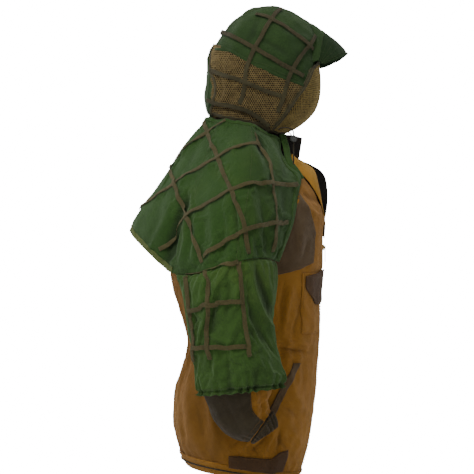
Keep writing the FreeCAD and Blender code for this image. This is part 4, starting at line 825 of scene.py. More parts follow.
for sg in (1, -1):
    stitch_on(CAPE_S, "suit", [(0.1, sg * 6.83), (2, sg * 6.83), (4, sg * 6.83), (5.9, sg * 6.83)], "cape", lift=1.5)
    stitch_on(CAPE_S, "suit", [(0.2, sg * 3.0), (2, sg * 3.0), (4, sg * 3.0), (5.8, sg * 3.0)], "cape", lift=0.75)
    stitch_on(CAPE_S, "suit", [(0.2, sg * 3.12), (2, sg * 3.12), (4, sg * 3.12), (5.8, sg * 3.12)], "cape", lift=0.75)
    stitch_on(CAPE_S, "suit", [(0.2, sg * 5.0), (2, sg * 5.0), (4, sg * 5.0), (5.9, sg * 5.0)], "cape", lift=0.75)
stitch_on(CAPE_S, "suit", [(0.15, -6.9), (0.15, -3), (0.15, 0), (0.15, 3), (0.15, 6.9)], "cape", lift=1.7)
stitch_on(CAPE_S, "suit", [(5.82, -2.98), (5.82, -1), (5.82, 1), (5.82, 2.98)], "cape", lift=1.9)

k = 0
for i, path in enumerate(CAPE_LONG):
    for sg, nm in ((1, "right"), (-1, "left")):
        p = [(r, sg * c) for r, c in path]
        ob, _, _ = tape_strip("cape_tape_long_%d_%s" % (i, nm), "suit", TAPE, CAPE_S, p, lift=1.5, bow=4.5 if i == 1 else 2.6, seed=10 + k)
        put(ob, "suit", TAPE, ["cape_tapes_long"])
        k += 1
for i, path in enumerate(CAPE_ACROSS):
    if i < 2:
        full = path + [(r, -c) for r, c in path[::-1][1:]]
        ob, _, _ = tape_strip("cape_tape_across_%d" % i, "suit", TAPE, CAPE_S, full, lift=2.0, bow=1.6, seed=30 + i)
        put(ob, "suit", TAPE, ["cape_tapes_across"])
    else:
        for sg, nm in ((1, "right"), (-1, "left")):
            ob, _, _ = tape_strip("cape_tape_across_%d_%s" % (i, nm), "suit", TAPE, CAPE_S, [(r, sg * c) for r, c in path], lift=2.6, bow=4.5 if i == 2 else 3.0, seed=33 + i)
            put(ob, "suit", TAPE)

# ------------------------------------------------------------------ cape sleeves
GS = np.array([(279.5, 176, 275.5, -331, -207), (277.5, 182, 290, -332, -205), (273.5, 186, 308, -333, -204),
               (271.5, 187.5, 326, -333, -204), (275.5, 190.5, 345, -332, -203), (281, 194, 362, -331, -202),
               (285, 195.3, 378, -329, -202), (284, 197, 391, -325, -205)], float)
SLEEVE_FOLDS = [
    ([(226, 270), (217, 286), (211.5, 300), (206, 318), (200, 334), (196.5, 352)], 3.4, 7.0, 0.5),
    ([(221, 288), (216, 304), (212, 320), (209, 342)], 4.0, -6.0),
    ([(250.5, 262), (254, 285), (261, 306), (269, 322), (274, 334), (280.9, 355), (283.8, 377)], 3.2, 7.5, 0.55),
    ([(257, 268), (263.5, 289), (269.5, 306), (273, 318)], 4.2, -9.0, 0.3),
    ([(247, 300), (256, 320), (266, 338), (274, 352)], 4.6, -4.0, 0.2),
    ([(236, 268), (236, 290), (234, 318), (231, 340)], 5.0, 3.6),
    ([(229, 276), (228, 298), (225, 322)], 4.0, -4.0),
    ([(246, 276), (249, 300), (252, 326), (254, 350)], 3.6, -4.4),
    ([(204, 330), (214, 338), (228, 342)], 3.0, 3.2),
    ([(240, 352), (254, 350), (268, 344)], 3.0, 3.0),
    ([(216, 352), (216, 370), (214, 386)], 3.4, 3.4),
    ([(228, 350), (229, 368), (229, 386)], 3.2, -4.0),
    ([(241, 356), (243, 372), (243, 388)], 3.0, 3.4),
    ([(256, 354), (258, 370), (258, 386)], 3.2, -3.6),
    ([(268, 352), (270, 368), (271, 384)], 3.0, 3.0),
    ([(188, 284), (191, 304), (196, 326), (198, 344)], 2.8, -5.0, 0.3),
    ([(182, 284), (186, 300), (189, 318)], 3.4, 4.0),
    ([(205, 272), (209, 284), (211, 296)], 2.0, -5.0, 0.3),
]


def green_sleeve(s, th):
    g = cat(GS, s)
    uf, ub, w, xo, xi = [g[..., i] for i in range(5)]
    pf, pb = draft(uf, w, -300.0 + 0 * uf), draft(ub, w, -290.0 + 0 * uf)
    cy, ry = (pf[..., 1] + pb[..., 1]) / 2, (pb[..., 1] - pf[..., 1]) / 2
    cx, rx = (xo + xi) / 2, (xi - xo) / 2
    t = np.radians(th)
    c, k = np.cos(t), np.sin(t)
    z = draft(uf, w, cx)[..., 2]
    p = np.stack([cx - rx * k, cy - ry * c, z + 9.0 * (s / 7.0) * c], -1)
    # gathered top, following the cape's lower edge
    thm = np.mod(th, 360.0)
    q1 = CAPE_S.pos(6.0 + 0 * thm, 6.85 - 3.75 * np.clip(thm, 0, 180) / 180.0)
    f, b = CAPE_S.pos(6.0, 6.85), CAPE_S.pos(6.0, 3.10)
    m = np.clip((thm - 180.0) / 180.0, 0, 1)[..., None]
    q2 = b + (f - b) * m
    q2[..., 0] += 28.0 * np.sin(np.pi * m[..., 0])
    q = np.where((thm <= 180)[..., None], q1, q2)
    q = q + np.array([0, 0, -1.0])
    inn = np.stack([cx - q[..., 0], cy - q[..., 1], 0 * cx], -1)
    q = q + inn / (np.linalg.norm(inn, axis=-1, keepdims=True) + 1e-6) * 2.2 * np.clip(1 - s, 0, 1)[..., None]
    wgt = np.where(s < 1.8, (1 - np.clip(s, 0, None) / 1.8) ** 1.5, 0.0)[..., None]
    return p + (q - p) * wgt


def make_sleeve(sgn, nm):
    s, th = np.meshgrid(np.linspace(0, 7.12, 150), np.linspace(0, 360, 301)[:-1], indexing="ij")
    P = green_sleeve(s, th)
    N = outward(normals_of(P, True), P, (-268, 0, 400))
    U, W = to_px(P)
    outer = smooth(-0.25, 0.25, np.sin(np.radians(th)))
    d = creases(U, W, SLEEVE_FOLDS) * outer + creases(2 * 236 - U + 4, W + 6, SLEEVE_FOLDS) * (1 - outer) * 0.7
    a = np.radians(th)
    n1, n2, n3 = Noise(11 + sgn), Noise(13 + sgn), Noise(17 + sgn, lo=0.9, hi=1.8)
    arc = np.cos(a) * 70, np.sin(a) * 70
    d = d + 1.6 * n1(arc[0] + arc[1] * 0.3, s * 15, 70.0) + 0.8 * n2(arc[0] * 1.2, arc[1] * 1.2 + s * 22, 34.0)
    # gathers below the top seam, and pleats on the elastic
    top = np.exp(-(s / 0.9) ** 2)
    d = d + top * 1.5 * np.sin(th / 360 * 2 * np.pi * 34 + 2.0 * np.sin(a * 3 + 1))
    ph = th / 360 * 2 * np.pi * 26 + 1.6 * np.sin(a * 4 + 0.7) + 0.9 * np.sin(a * 9)
    low = smooth(5.3, 6.72, s)
    el = np.exp(-((s - 6.74) / 0.16) ** 2)
    d = d + low * 2.3 * np.sin(ph) * (1 + 0.4 * np.sin(a * 5)) - el * 3.0 - 2.2 * smooth(6.5, 6.75, s)
    d = d + 1.6 * smooth(6.85, 7.12, s) * (1 + np.sin(ph))
    d = d * smooth(-0.05, 0.45, s)
    # painted shade: darker in the fold valleys and on the outer side towards the front, where the light falls off
    shade = 0.6 * smooth(1.0, 8.0, -d) + 0.25 * smooth(240, 262, U) * outer
    P = P + N * d[..., None]
    P[..., 2] += smooth(6.8, 7.12, s) * 1.6 * np.sin(ph + 0.6)
    pins = np.zeros(s.shape)
    pins[s < 0.35] = 1
    pins[s > 6.3] = 1
    for (pth) in SL_LONG:
        q = cat(np.asarray(pth, float), np.linspace(0, len(pth) - 1, 9))
        for ss, tt in q:
            pins[(np.abs(s - ss) < 0.10) & (np.abs(th - tt) < 4)] = 1
    P = settle(P, pins, frames=14, grow=0.018, cap=2.6, stiff=10, gravity=0.4, wrap=True, bend=0.35)
    if sgn > 0:
        P[..., 0] *= -1
    C = P.mean((0, 1))
    N = outward(normals_of(P, True), P, C)
    sh = Sheet(P, N, (0, 7.12), (0, 360), wrap=True)
    ob = grid_mesh("cape_sleeve_mesh_" + nm, P, closed_u=True, shade=shade)
    thicken(ob, 1.2, 0.0)
    put(ob, "suit", SLEEVE_GREEN, ["cape_sleeve_" + nm, "sleeve_elastic"])
    k = 0
    for i, p in enumerate(SL_LONG):
        ob, _, _ = tape_strip("sleeve_tape_long_%d_%s" % (i, nm), "suit", TAPE, sh, p, lift=1.5, bow=3.0, seed=50 + i + 7 * sgn)
        put(ob, "suit", TAPE, ["sleeve_tapes_long"])
    for i, p in enumerate(SL_ACROSS):
        ob, _, _ = tape_strip("sleeve_tape_across_%d_%s" % (i, nm), "suit", TAPE, sh, p, lift=2.6, bow=3.2, seed=60 + i + 7 * sgn)
        put(ob, "suit", TAPE, ["sleeve_tapes_across"])
    for sv in (6.52, 6.92):
        stitch_on(sh, "suit", [(sv, t) for t in np.linspace(0, 359.9, 9)], "cape", lift=0.8)
    # underarm seam
    stitch_on(sh, "suit", [(t, 268) for t in (0.4, 2.5, 4.5, 6.4)], "cape", lift=0.8)
    return sh


_ss, _tt = np.meshgrid(np.linspace(0, 7.0, 141), np.linspace(4, 176, 173), indexing="ij")
_su, _sw = to_px(green_sleeve(_ss, _tt))


def sleeve_path(*pts):
    """Sleeve parameters of points drawn in the side elevation, on the outer side."""
    out = []
    for u, w in pts:
        k = int(np.argmin((_su - u) ** 2 + (_sw - w) ** 2))
        out.append((float(_ss.ravel()[k]), float(_tt.ravel()[k])))
    return out


SL_LONG = [
    sleeve_path((238.5, 260), (239, 272), (240.5, 290), (243, 310), (245.5, 330), (248, 345), (249.5, 357)),
    sleeve_path((204.5, 268), (206, 279), (208.5, 291), (209.5, 302), (208, 314), (206, 329), (207, 344), (210.5, 359)),
    sleeve_path((186, 277), (187.5, 292), (189.5, 309), (192, 324), (194, 336), (195.5, 348), (195.5, 361)),
]
SL_ACROSS = [
    sleeve_path((186, 274), (196, 271.5), (207, 268.5), (219, 265), (231, 261.5), (238, 259.5)),
    sleeve_path((190, 311.5), (199, 308.5), (208, 304.5), (220, 303), (232, 302), (241, 301.5)),
    sleeve_path((194, 348), (205, 347.5), (220, 347), (235, 346.5), (246, 346.5)),
]
SLEEVE_S = {nm: make_sleeve(sg, nm) for sg, nm in ((-1, "right"), (1, "left"))}

# ------------------------------------------------------------------ hood
HC = (262.0, 75.0)
HOOD_A, HP, HQ = 103.0, 2.55, 2.15
HOOD_EDGE = [(318.5, 48), (318.2, 36), (314, 28.5), (307.6, 21.7), (294.8, 13.4), (279.5, 7.7), (266.7, 5.9), (251.4, 9.6),
             (241.2, 15.3), (231, 24.2), (223.4, 33.2), (218.3, 40.8), (213.2, 51), (210, 60), (207.4, 71.4),
             (205.6, 86.7), (205.2, 102), (206.6, 111), (209.8, 118), (216, 136), (235, 152), (262, 157),
             (290, 149), (311, 125), (323, 100), (326, 80), (323, 62)]
HE = sorted([(math.atan2(-(w - HC[1]), u - HC[0]), math.hypot(u - HC[0], w - HC[1])) for u, w in HOOD_EDGE])
HE_A = [HE[-2][0] - 2 * math.pi, HE[-1][0] - 2 * math.pi] + [a for a, _ in HE] + [HE[0][0] + 2 * math.pi, HE[1][0] + 2 * math.pi]
HE_R = [HE[-2][1], HE[-1][1]] + [r for _, r in HE] + [HE[0][1], HE[1][1]]
HOOD_CM = np.array([0.0, -50.0, 868.0])


def hood_r(a):
    return table(HE_A, HE_R, np.arctan2(np.sin(a), np.cos(a)))


def to_plane(u, w):
    du, dw = np.asarray(u, float) - HC[0], -(np.asarray(w, float) - HC[1])
    a = np.arctan2(dw, du)
    rho = np.minimum(np.hypot(du, dw) / hood_r(a), 0.9999)
    psi = np.arcsin(rho ** (HP / 2))
    return np.stack([psi * np.cos(a), psi * np.sin(a)], -1)


def hood_plane(q):
    psi, a = np.hypot(q[..., 0], q[..., 1]), np.arctan2(q[..., 1], q[..., 0])
    r = np.sin(psi) ** (2 / HP) * hood_r(a)
    return draft(HC[0] + r * np.cos(a), HC[1] - r * np.sin(a), -HOOD_A * np.abs(np.cos(psi)) ** (2 / HQ))


def hood_polar(x, a):
    rho = (1 - (np.abs(x) / HOOD_A) ** HQ) ** (1 / HP)
    r = rho * hood_r(a)
    q = draft(HC[0] + r * np.cos(a), HC[1] - r * np.sin(a), -np.abs(x))
    return np.stack([x + 0 * q[..., 1], q[..., 1], q[..., 2]], -1)


A_BROW, A_JOIN, A_NAPE = math.radians(38.0), math.radians(150.0), math.radians(218.5)
STRIP_A = [A_BROW, math.radians(90.0), math.radians(140.0), math.radians(170.0), math.radians(195.0), A_NAPE]
STRIP_W = [26.0, 27.0, 30.0, 44.0, 50.0, 42.0]


def strip_edge(a):
    x = table(STRIP_A, STRIP_W, a) - 1.0
    psi = np.arccos((x / HOOD_A) ** (HQ / 2))
    return np.stack([psi * np.cos(a), psi * np.sin(a)], -1)


def coons(top, low, front, back, s, t):
    top, low, front, back = [np.asarray(v, float) for v in (top, low, front, back)]
    a, b = cat(top, s * (len(top) - 1)), cat(low, s * (len(low) - 1))
    f, g = cat(front, t * (len(front) - 1)), cat(back, t * (len(back) - 1))
    S, T = s[..., None], t[..., None]
    return ((1 - T) * a + T * b + (1 - S) * f + S * g
            - ((1 - S) * (1 - T) * top[0] + S * (1 - T) * top[-1] + (1 - S) * T * low[0] + S * T * low[-1]))


HOOD_FOLDS = [
    ([(312, 42), (300, 38), (286, 37), (272, 40)], 4.0, 2.6),
    ([(296, 62), (284, 52), (270, 44), (256, 36)], 4.5, -3.0, 0.3),
    ([(244, 24), (238, 36), (234, 48)], 4.0, 2.4),
    ([(262, 12), (256, 24), (250, 38), (246, 52)], 5.0, -2.6),
    ([(278, 14), (280, 26), (286, 40), (294, 54)], 5.0, 2.6),
    ([(226, 40), (236, 46), (248, 54), (262, 62)], 3.6, 2.6),
    ([(300, 72), (288, 66), (276, 62)], 3.4, -2.4),
    ([(212, 66), (210, 84), (209, 100), (211, 112)], 3.4, 2.2),
    ([(234, 62), (232, 80), (230, 100), (228, 114)], 4.0, -2.6),
    ([(252, 70), (249, 88), (246, 106), (246, 118)], 4.0, 2.4),
    ([(272, 80), (268, 96), (263, 112), (258, 122)], 4.0, -2.4),
    ([(218, 74), (221, 82), (222, 92), (219, 100)], 2.8, -5.0, 0.3),
    ([(226, 78), (229, 88), (228, 98)], 3.4, 3.0),
    ([(208, 103), (218, 107), (230, 109.5), (241, 112), (252, 116), (260, 122), (266, 129)], 2.4, -6.5, 0.3),
    ([(210, 98), (222, 101), (236, 103), (250, 107), (259, 113)], 3.0, 3.4),
    ([(262, 96), (268, 102), (272, 110)], 3.0, -3.0),
    ([(300, 84), (294, 90), (284, 97)], 3.0, 2.4),
]
_hn1, _hn2 = Noise(21), Noise(22, lo=0.8, hi=1.7)


def hood_disp(P):
    """Soft creasing shared by every layer of the hood, from its place in the side elevation."""
    U, W = to_px(P)
    right = P[..., 0] < 0
    f = creases(U, W, HOOD_FOLDS)
    g = creases(U + 4 * np.sin(W / 15), W + 3, HOOD_FOLDS)
    d = np.where(right, f, g)
    side = smooth(0, 40, np.abs(P[..., 0]))
    return d * (0.35 + 0.65 * side) + 0.9 * _hn1(P[..., 1] + P[..., 0] * 0.6, P[..., 2], 75.0) + 0.5 * _hn2(P[..., 1] - P[..., 0] * 0.5, P[..., 2] + P[..., 0] * 0.4, 32.0)


# painted shade in the crease valleys of the hood's side cloth
def hood_painted_shade(P):
    U, W = to_px(P)
    return 0.5 * smooth(0.8, 4.0, -creases(U, W, HOOD_FOLDS))


def hood_sheet(f, a, b, na, nb, lift=0.0, mirror=False):
    A, B = np.meshgrid(np.linspace(a[0], a[1], na), np.linspace(b[0], b[1], nb), indexing="ij")
    P = f(A, B)
    if mirror:
        P = P * np.array([-1, 1, 1])
    N = outward(normals_of(P), P, HOOD_CM)
    P = P + N * (hood_disp(P) + lift)[..., None]
    N = outward(normals_of(P), P, HOOD_CM)
    return Sheet(P, N, a, b)


strip_f = lambda a, s: hood_polar(-s * table(STRIP_A, STRIP_W, a), a)
STRIP_S = hood_sheet(strip_f, (A_BROW, A_NAPE), (-1.0, 1.0), 190, 40, 0.4)
ob = grid_mesh("hood_crown", STRIP_S.P)
thicken(ob, 1.4, 0.0)
put(ob, "hood", HOOD_GREEN, ["hood_crown_strip"])
NET_TOP = [(303.0, 85.0), (294, 81.3), (282, 76.8), (269.3, 71.4), (260, 67), (251.4, 62.5), (241, 57), (231, 51)]
NET_LOW = [(269, 130.5), (264, 127.5), (258, 124.8), (250, 122.5), (241, 120.6), (231, 119), (222, 117.6)]
FACE_EDGE = [(303.0, 85.8), (294, 97), (286, 109), (278, 120.5), (269, 130.5)]
side_top = [strip_edge(a) for a in np.linspace(A_BROW, A_JOIN - 0.02, 11)]
side_low = [to_plane(u, w) for u, w in NET_TOP] + [side_top[-1]]
side_front = [side_top[0]] + [to_plane(*p) for p in [(314.5, 50), (313.0, 62), (310, 74), (303.0, 84.7)]]
side_back = [side_top[-1]] * 3
net_top = [to_plane(u, w) for u, w in NET_TOP] + [strip_edge(A_JOIN + 0.02)]
net_low = [to_plane(*p) for p in NET_LOW] + [strip_edge(A_NAPE - 0.01)]
net_front = [to_plane(*p) for p in [(303.0, 85.3)] + FACE_EDGE[1:]]
net_back = [strip_edge(a) for a in np.linspace(A_JOIN + 0.02, A_NAPE - 0.01, 6)]
side_f = lambda t, s: hood_plane(coons(side_top, side_low, side_front, side_back, s, t))
net_f = lambda t, s: hood_plane(coons(net_top, net_low, net_front, net_back, s, t))
# the whole side of the hood over its own plane, for anything drawn from the side elevation
SIDE_S, NETS = {}, {}
for mir, nm in ((False, "right"), (True, "left")):
    S = hood_sheet(side_f, (0.0, 1.0), (0.0, 0.985), 80, 140, 0.0, mir)
    SIDE_S[nm] = S
    ob = grid_mesh("hood_side_mesh_" + nm, S.P, shade=hood_painted_shade(S.P))
    thicken(ob, 1.3, 0.0)
    put(ob, "hood", HOOD_GREEN, ["hood_side_" + nm])
    NETS[nm] = hood_sheet(net_f, (0.0, 1.0), (0.0, 1.0), 120, 150, 0.0, mir)


def hex_net(name, sheet, La, Lb, pitch, hole, thick, body, mat, replaces, inner=8, keep=None, jitter=0.05, seed=5):
    """Open net over a Sheet: hexagonal cells, each a ring of cloth round a hole."""
    r = np.random.default_rng(seed)
    a0, a1 = sheet.a
    b0, b1 = sheet.b
    na, nb = int(La / (pitch * 0.866)) + 2, int(Lb / pitch) + 2
    j, i = np.meshgrid(np.arange(na), np.arange(nb), indexing="ij")
    y = j * pitch * 0.866
    x = i * pitch + (j % 2) * pitch / 2
    y, x = y.ravel(), x.ravel()
    m = (y <= La) & (x <= Lb)
    y, x = y[m], x[m]
    if keep is not None:
        m = keep(y / La, x / Lb)
        y, x = y[m], x[m]
    R = pitch / math.sqrt(3)
    ang_o = np.radians(30 + 60 * np.arange(6))
    ox, oy = x[:, None] + R * np.cos(ang_o), y[:, None] + R * np.sin(ang_o)
    ang_i = np.radians(30 + 30 * np.arange(12))
    hr = R * hole * (1 + r.uniform(-0.12, 0.12, len(x)))
    ix, iy = x[:, None] + hr[:, None] * np.cos(ang_i), y[:, None] + hr[:, None] * np.sin(ang_i)
    mid = lambda v: np.stack([v, (v + np.roll(v, -1, 1)) / 2], -1).reshape(len(v), -1)
    OX, OY = mid(ox), mid(oy)
    X, Y = np.concatenate([OX, ix], 1), np.concatenate([OY, iy], 1)
    A, B = np.clip(Y / La, 0, 1) * (a1 - a0) + a0, np.clip(X / Lb, 0, 1) * (b1 - b0) + b0
    P = sheet.pos(A, B)
    n = len(x)
    k = np.arange(12)
    k2 = (k + 1) % 12
    F = np.stack([k, k2, 12 + k2, 12 + k], -1)[None] + 24 * np.arange(n)[:, None, None]
    ob = face_mesh(name, P.reshape(-1, 3), F.reshape(-1, 4))
    bm = bmesh.new()
    bm.from_mesh(ob.data)
    bmesh.ops.remove_doubles(bm, verts=bm.verts, dist=0.05 * MM)
    bmesh.ops.recalc_face_normals(bm, faces=bm.faces)
    bm.to_mesh(ob.data)
    bm.free()
    thicken(ob, thick, 0.0)
    return put(ob, body, mat, replaces)


# dark sheet laid behind a net: painted shadow
def painted_shadow_sheet(name, sheet, lift, body, mat, nr=60, nc=70):
    A, B = np.meshgrid(np.linspace(*sheet.a, nr), np.linspace(*sheet.b, nc), indexing="ij")
    ob = grid_mesh(name, sheet.pos(A, B) + sheet.nor(A, B) * lift)
    return put(ob, body, mat)


def poly_inside(poly, u, w):
    poly = np.asarray(poly, float)
    ins = np.zeros(u.shape, bool)
    a, b = poly, np.roll(poly, -1, 0)
    for (x1, y1), (x2, y2) in zip(a, b):
        hit = ((y1 > w) != (y2 > w)) & (u < (x2 - x1) * (w - y1) / (y2 - y1 + 1e-12) + x1)
        ins ^= hit
    return ins


NET_POLY = [(303, 85.4), (294, 81.6), (282, 77.0), (269.3, 71.6), (260, 67.2), (251.4, 62.7), (241, 57.2), (231, 51.4), (222, 47.2), (214.2, 44.2), (212.0, 50),
            (210.6, 60), (210.6, 70), (212.0, 80), (213.2, 90), (212.6, 100), (211.6, 108), (213, 116.6), (222, 117.8), (231, 119.2), (241, 120.8), (250, 122.7),
            (258, 125), (264, 127.7), (269, 130.5), (278, 120.5), (286, 109), (294, 97)]


BACK_POLY = [(213.5, 43.5), (220, 50), (218, 60), (217, 70), (218, 80), (220, 90), (219.5, 100), (217.5, 108), (217, 117.4), (209.6, 117.4), (206.9, 111), (206.9, 58),
             (209.5, 50)]


def cut_side_sheet(name, HD, lift, outline=NET_POLY):
    """Sheet over the hood's side, cut to the net's outline unless another is given: the dark painted-shadow sheet under
    the side net, or the back gusset.
    """
    ug, wg = np.arange(206.8, 306.0, 0.7), np.arange(42, 133, 0.7)
    U, W = np.meshgrid(ug, wg)
    P = HD.pos(U, W) + HD.nor(U, W) * lift
    idx = np.arange(U.size).reshape(U.shape)
    F = np.stack([idx[:-1, :-1], idx[:-1, 1:], idx[1:, 1:], idx[1:, :-1]], -1).reshape(-1, 4)
    uc, wc = U.ravel()[F].mean(1), W.ravel()[F].mean(1)
    F = F[poly_inside(outline, uc, wc)]
    keep, inv = np.unique(F, return_inverse=True)
    return face_mesh(name, P.reshape(-1, 3)[keep], inv.reshape(-1, 4))


def side_net(name, HD, pitch=4.8, hole=0.69, thick=0.8, lift=0.9, seed=5):
    """Hexagonal net over the hood's side, laid out by length along the surface in both directions."""
    r = np.random.default_rng(seed)
    wg = np.linspace(40, 134, 95)
    ug = np.linspace(204.0, 306.0, 409)
    U, W = np.meshgrid(ug, wg)
    U = np.maximum(U, 206.6 + 0 * W)
    B = HD.base(U, W)
    st = np.linalg.norm(np.diff(B, axis=1), axis=-1)
    S = np.concatenate([np.zeros((len(wg), 1)), np.cumsum(st, 1)], 1)
    mid = int(np.argmin(abs(ug - 256)))
    S = S - S[:, mid:mid + 1]
    for _ in range(8):
        S[1:-1] = (S[:-2] + 2 * S[1:-1] + S[2:]) / 4
    dv = np.linalg.norm(np.diff(B[:, mid], axis=0), axis=-1)
    T = np.concatenate([[0], np.cumsum(dv)])
    Lx0, Lx1 = S.min(), S.max()
    na, nb = int(T[-1] / (pitch * 0.866)) + 2, int((Lx1 - Lx0) / pitch) + 3
    j, i = np.meshgrid(np.arange(na), np.arange(nb), indexing="ij")
    y = (j * pitch * 0.866).ravel()
    x = (Lx0 + i * pitch + (j % 2) * pitch / 2).ravel()

    def place(x, y):
        wi = np.clip(np.interp(y, T, np.arange(len(wg))), 0, len(wg) - 1.001)
        k = wi.astype(int)
        f = wi - k
        out = np.zeros_like(x)
        for q in np.unique(k):
            m = k == q
            a0 = np.interp(x[m], S[q], ug, left=1.0, right=999.0)
            a1 = np.interp(x[m], S[q + 1], ug, left=1.0, right=999.0)
            out[m] = a0 * (1 - f[m]) + a1 * f[m]
        return out, np.interp(y, T, wg)

    u, w = place(x, y)
    m = poly_inside(NET_POLY, u, w)
    x, y = x[m], y[m]
    R = pitch / math.sqrt(3)
    ao, ai = np.radians(30 + 60 * np.arange(6)), np.radians(30 + 30 * np.arange(12))
    ox, oy = x[:, None] + R * np.cos(ao), y[:, None] + R * np.sin(ao)
    hr = R * hole * (1 + r.uniform(-0.14, 0.14, len(x)))
    ix, iy = x[:, None] + hr[:, None] * np.cos(ai), y[:, None] + hr[:, None] * np.sin(ai)
    mids = lambda v: np.stack([v, (v + np.roll(v, -1, 1)) / 2], -1).reshape(len(v), -1)
    X, Y = np.concatenate([mids(ox), ix], 1).ravel(), np.concatenate([mids(oy), iy], 1).ravel()
    u, w = place(X, Y)
    u = np.clip(u, 206.6, 306.0)
    P = HD.pos(u, w)
    P = P + HD.nor(u, w) * lift
    n = len(x)
    k = np.arange(12)
    k2 = (k + 1) % 12
    F = np.stack([k, k2, 12 + k2, 12 + k], -1)[None] + 24 * np.arange(n)[:, None, None]
    ob = face_mesh(name, P, F.reshape(-1, 4))
    bm = bmesh.new()
    bm.from_mesh(ob.data)
    bmesh.ops.remove_doubles(bm, verts=bm.verts, dist=0.06 * MM)
    bmesh.ops.recalc_face_normals(bm, faces=bm.faces)
    bm.to_mesh(ob.data)
    bm.free()
    thicken(ob, thick, 0.0)
    return ob


def run(sheet, pts):
    """Parameters along a straight or curved run given as (a, b) points."""
    pts = np.asarray(pts, float)
    return cat(pts, np.linspace(0, len(pts) - 1, 40 * (len(pts) - 1)))


def path_strip(name, body, mat, P, N, width, thick, lift, cols=5, wav=0.0, seed=0, replaces=()):
    """Flat strip along points and normals in mm."""
    P, (N,), t = resample(np.asarray(P, float), [np.asarray(N, float)], 2.5)
    N = soften(N, 3)
    N /= np.linalg.norm(N, axis=1, keepdims=True) + 1e-9
    tan = np.gradient(P, axis=0)
    tan /= np.linalg.norm(tan, axis=1, keepdims=True) + 1e-9
    side = np.cross(N, tan)
    side /= np.linalg.norm(side, axis=1, keepdims=True) + 1e-9
    w = width * np.ones(len(P))
    sway = wav * np.sin(t / 23.0 + seed) + wav * 0.6 * np.sin(t / 9.0 + seed * 2)
    G = np.stack([P + side * (x * w + sway)[:, None] + N * (lift - 0.3 * (2 * abs(x)) ** 4) for x in np.linspace(-0.5, 0.5, cols)], 1)
    ob = grid_mesh(name, G)
    thicken(ob, thick, 0.0)
    return put(ob, body, mat, replaces)


for sg, nm in ((1, "right"), (-1, "left")):
    q = cat(np.array(FRONT_ROLL, float), np.linspace(0, 5, 50))
    P = draft(q[:, 0], q[:, 1], q[:, 2]) * np.array([sg, 1, 1])
    nn = np.repeat(np.array([[-0.86 * sg, -0.45, 0.24]]), len(P), 0)
    path_strip("cape_front_roll_" + nm, "suit", GREEN, P, nn, 15.0, 2.6, 0.5, cols=9, wav=1.3, seed=1 + sg)


def tube_mesh(name, pts, r, body, mat, replaces=(), closed=False, step=1.6, sides=10, braid=True):
    """Round cord through points in mm."""
    pts = np.asarray(pts, float)
    q = cat(pts, np.linspace(0, len(pts) - 1, 24 * (len(pts) - 1) + 1))
    P, _, t = resample(q, [], step)
    tan = np.gradient(P, axis=0)
    tan /= np.linalg.norm(tan, axis=1, keepdims=True) + 1e-9
    u = np.cross(tan[0], [0.3, 0.5, 0.81])
    u /= np.linalg.norm(u)
    U = []
    for k in range(len(P)):
        u = u - tan[k] * (u @ tan[k])
        u /= np.linalg.norm(u)
        U.append(u.copy())
    U = np.array(U)
    Vv = np.cross(tan, U)
    a = np.linspace(0, 2 * np.pi, sides + 1)[:-1]
    rr = r * (1 + (0.06 * np.sin(a[None] * 3 + t[:, None] * 2.2) if braid else 0))
    G = P[:, None] + U[:, None] * (np.cos(a)[None] * rr)[..., None] + Vv[:, None] * (np.sin(a)[None] * rr)[..., None]
    ob = grid_mesh(name, G, closed_u=True)
    return put(ob, body, mat, replaces)


for nm in ("right", "left"):
    S, Nn = SIDE_S[nm], NETS[nm]
    b = np.linspace(0, 0.985, 90)
    a1 = np.ones_like(b)
    # piping and stitches along the join of cloth and net
    path_strip("hood_join_seam_" + nm, "hood", HOOD_GREEN, Nn.pos(0.0 * b, b / 0.985), Nn.nor(0.0 * b, b / 0.985), 5.5, 1.2, 2.4)
    stitch_line(("hood", THREAD, "hood", "hood_cloth"), S.pos(a1 * 0.965, b) + S.nor(a1 * 0.965, b) * 1.0, S.nor(a1 * 0.965, b))
    stitch_line(("hood", THREAD, "hood", "hood_cloth"), S.pos(a1 * 0.035, b) + S.nor(a1 * 0.035, b) * 0.9, S.nor(a1 * 0.035, b))
    # lower edge of the net: channel, dark drawcord tape and binding
    path_strip("hood_low_binding_" + nm, "hood", TAPE_DARK, Nn.pos(0 * b + 0.985, b / 0.985), Nn.nor(0 * b + 0.985, b / 0.985), 8.0, 1.4, 2.6)
for sg in (0.93, -0.93):
    aa = np.linspace(A_BROW + 0.03, A_NAPE - 0.03, 150)
    stitch_line(("hood", THREAD, "hood", "hood_cloth"), STRIP_S.pos(aa, sg + 0 * aa) + STRIP_S.nor(aa, sg + 0 * aa) * 1.0, STRIP_S.nor(aa, sg + 0 * aa))

class HoodDraft:
    """The right or left side of the hood addressed by its place in the side elevation."""
    def __init__(self, sgn):
        self.m = np.array([sgn, 1, 1.0])

    def base(self, u, w):
        du, dw = np.asarray(u, float) - HC[0], -(np.asarray(w, float) - HC[1])
        rho = np.minimum(np.hypot(du, dw) / hood_r(np.arctan2(dw, du)), 0.9995)
        return draft(u, w, -HOOD_A * (1 - rho ** HP) ** (1 / HQ)) * self.m

    def nor(self, u, w):
        h = 0.3
        a = self.base(u + h, w) - self.base(u - h, w)
        b = self.base(u, w + h) - self.base(u, w - h)
        n = np.cross(a, b)
        n /= np.linalg.norm(n, axis=-1, keepdims=True) + 1e-9
        s = np.sign((n * (self.base(u, w) - HOOD_CM)).sum(-1, keepdims=True))
        return n * s

    def pos(self, u, w):
        P = self.base(u, w)
        return P + self.nor(u, w) * hood_disp(P)[..., None]


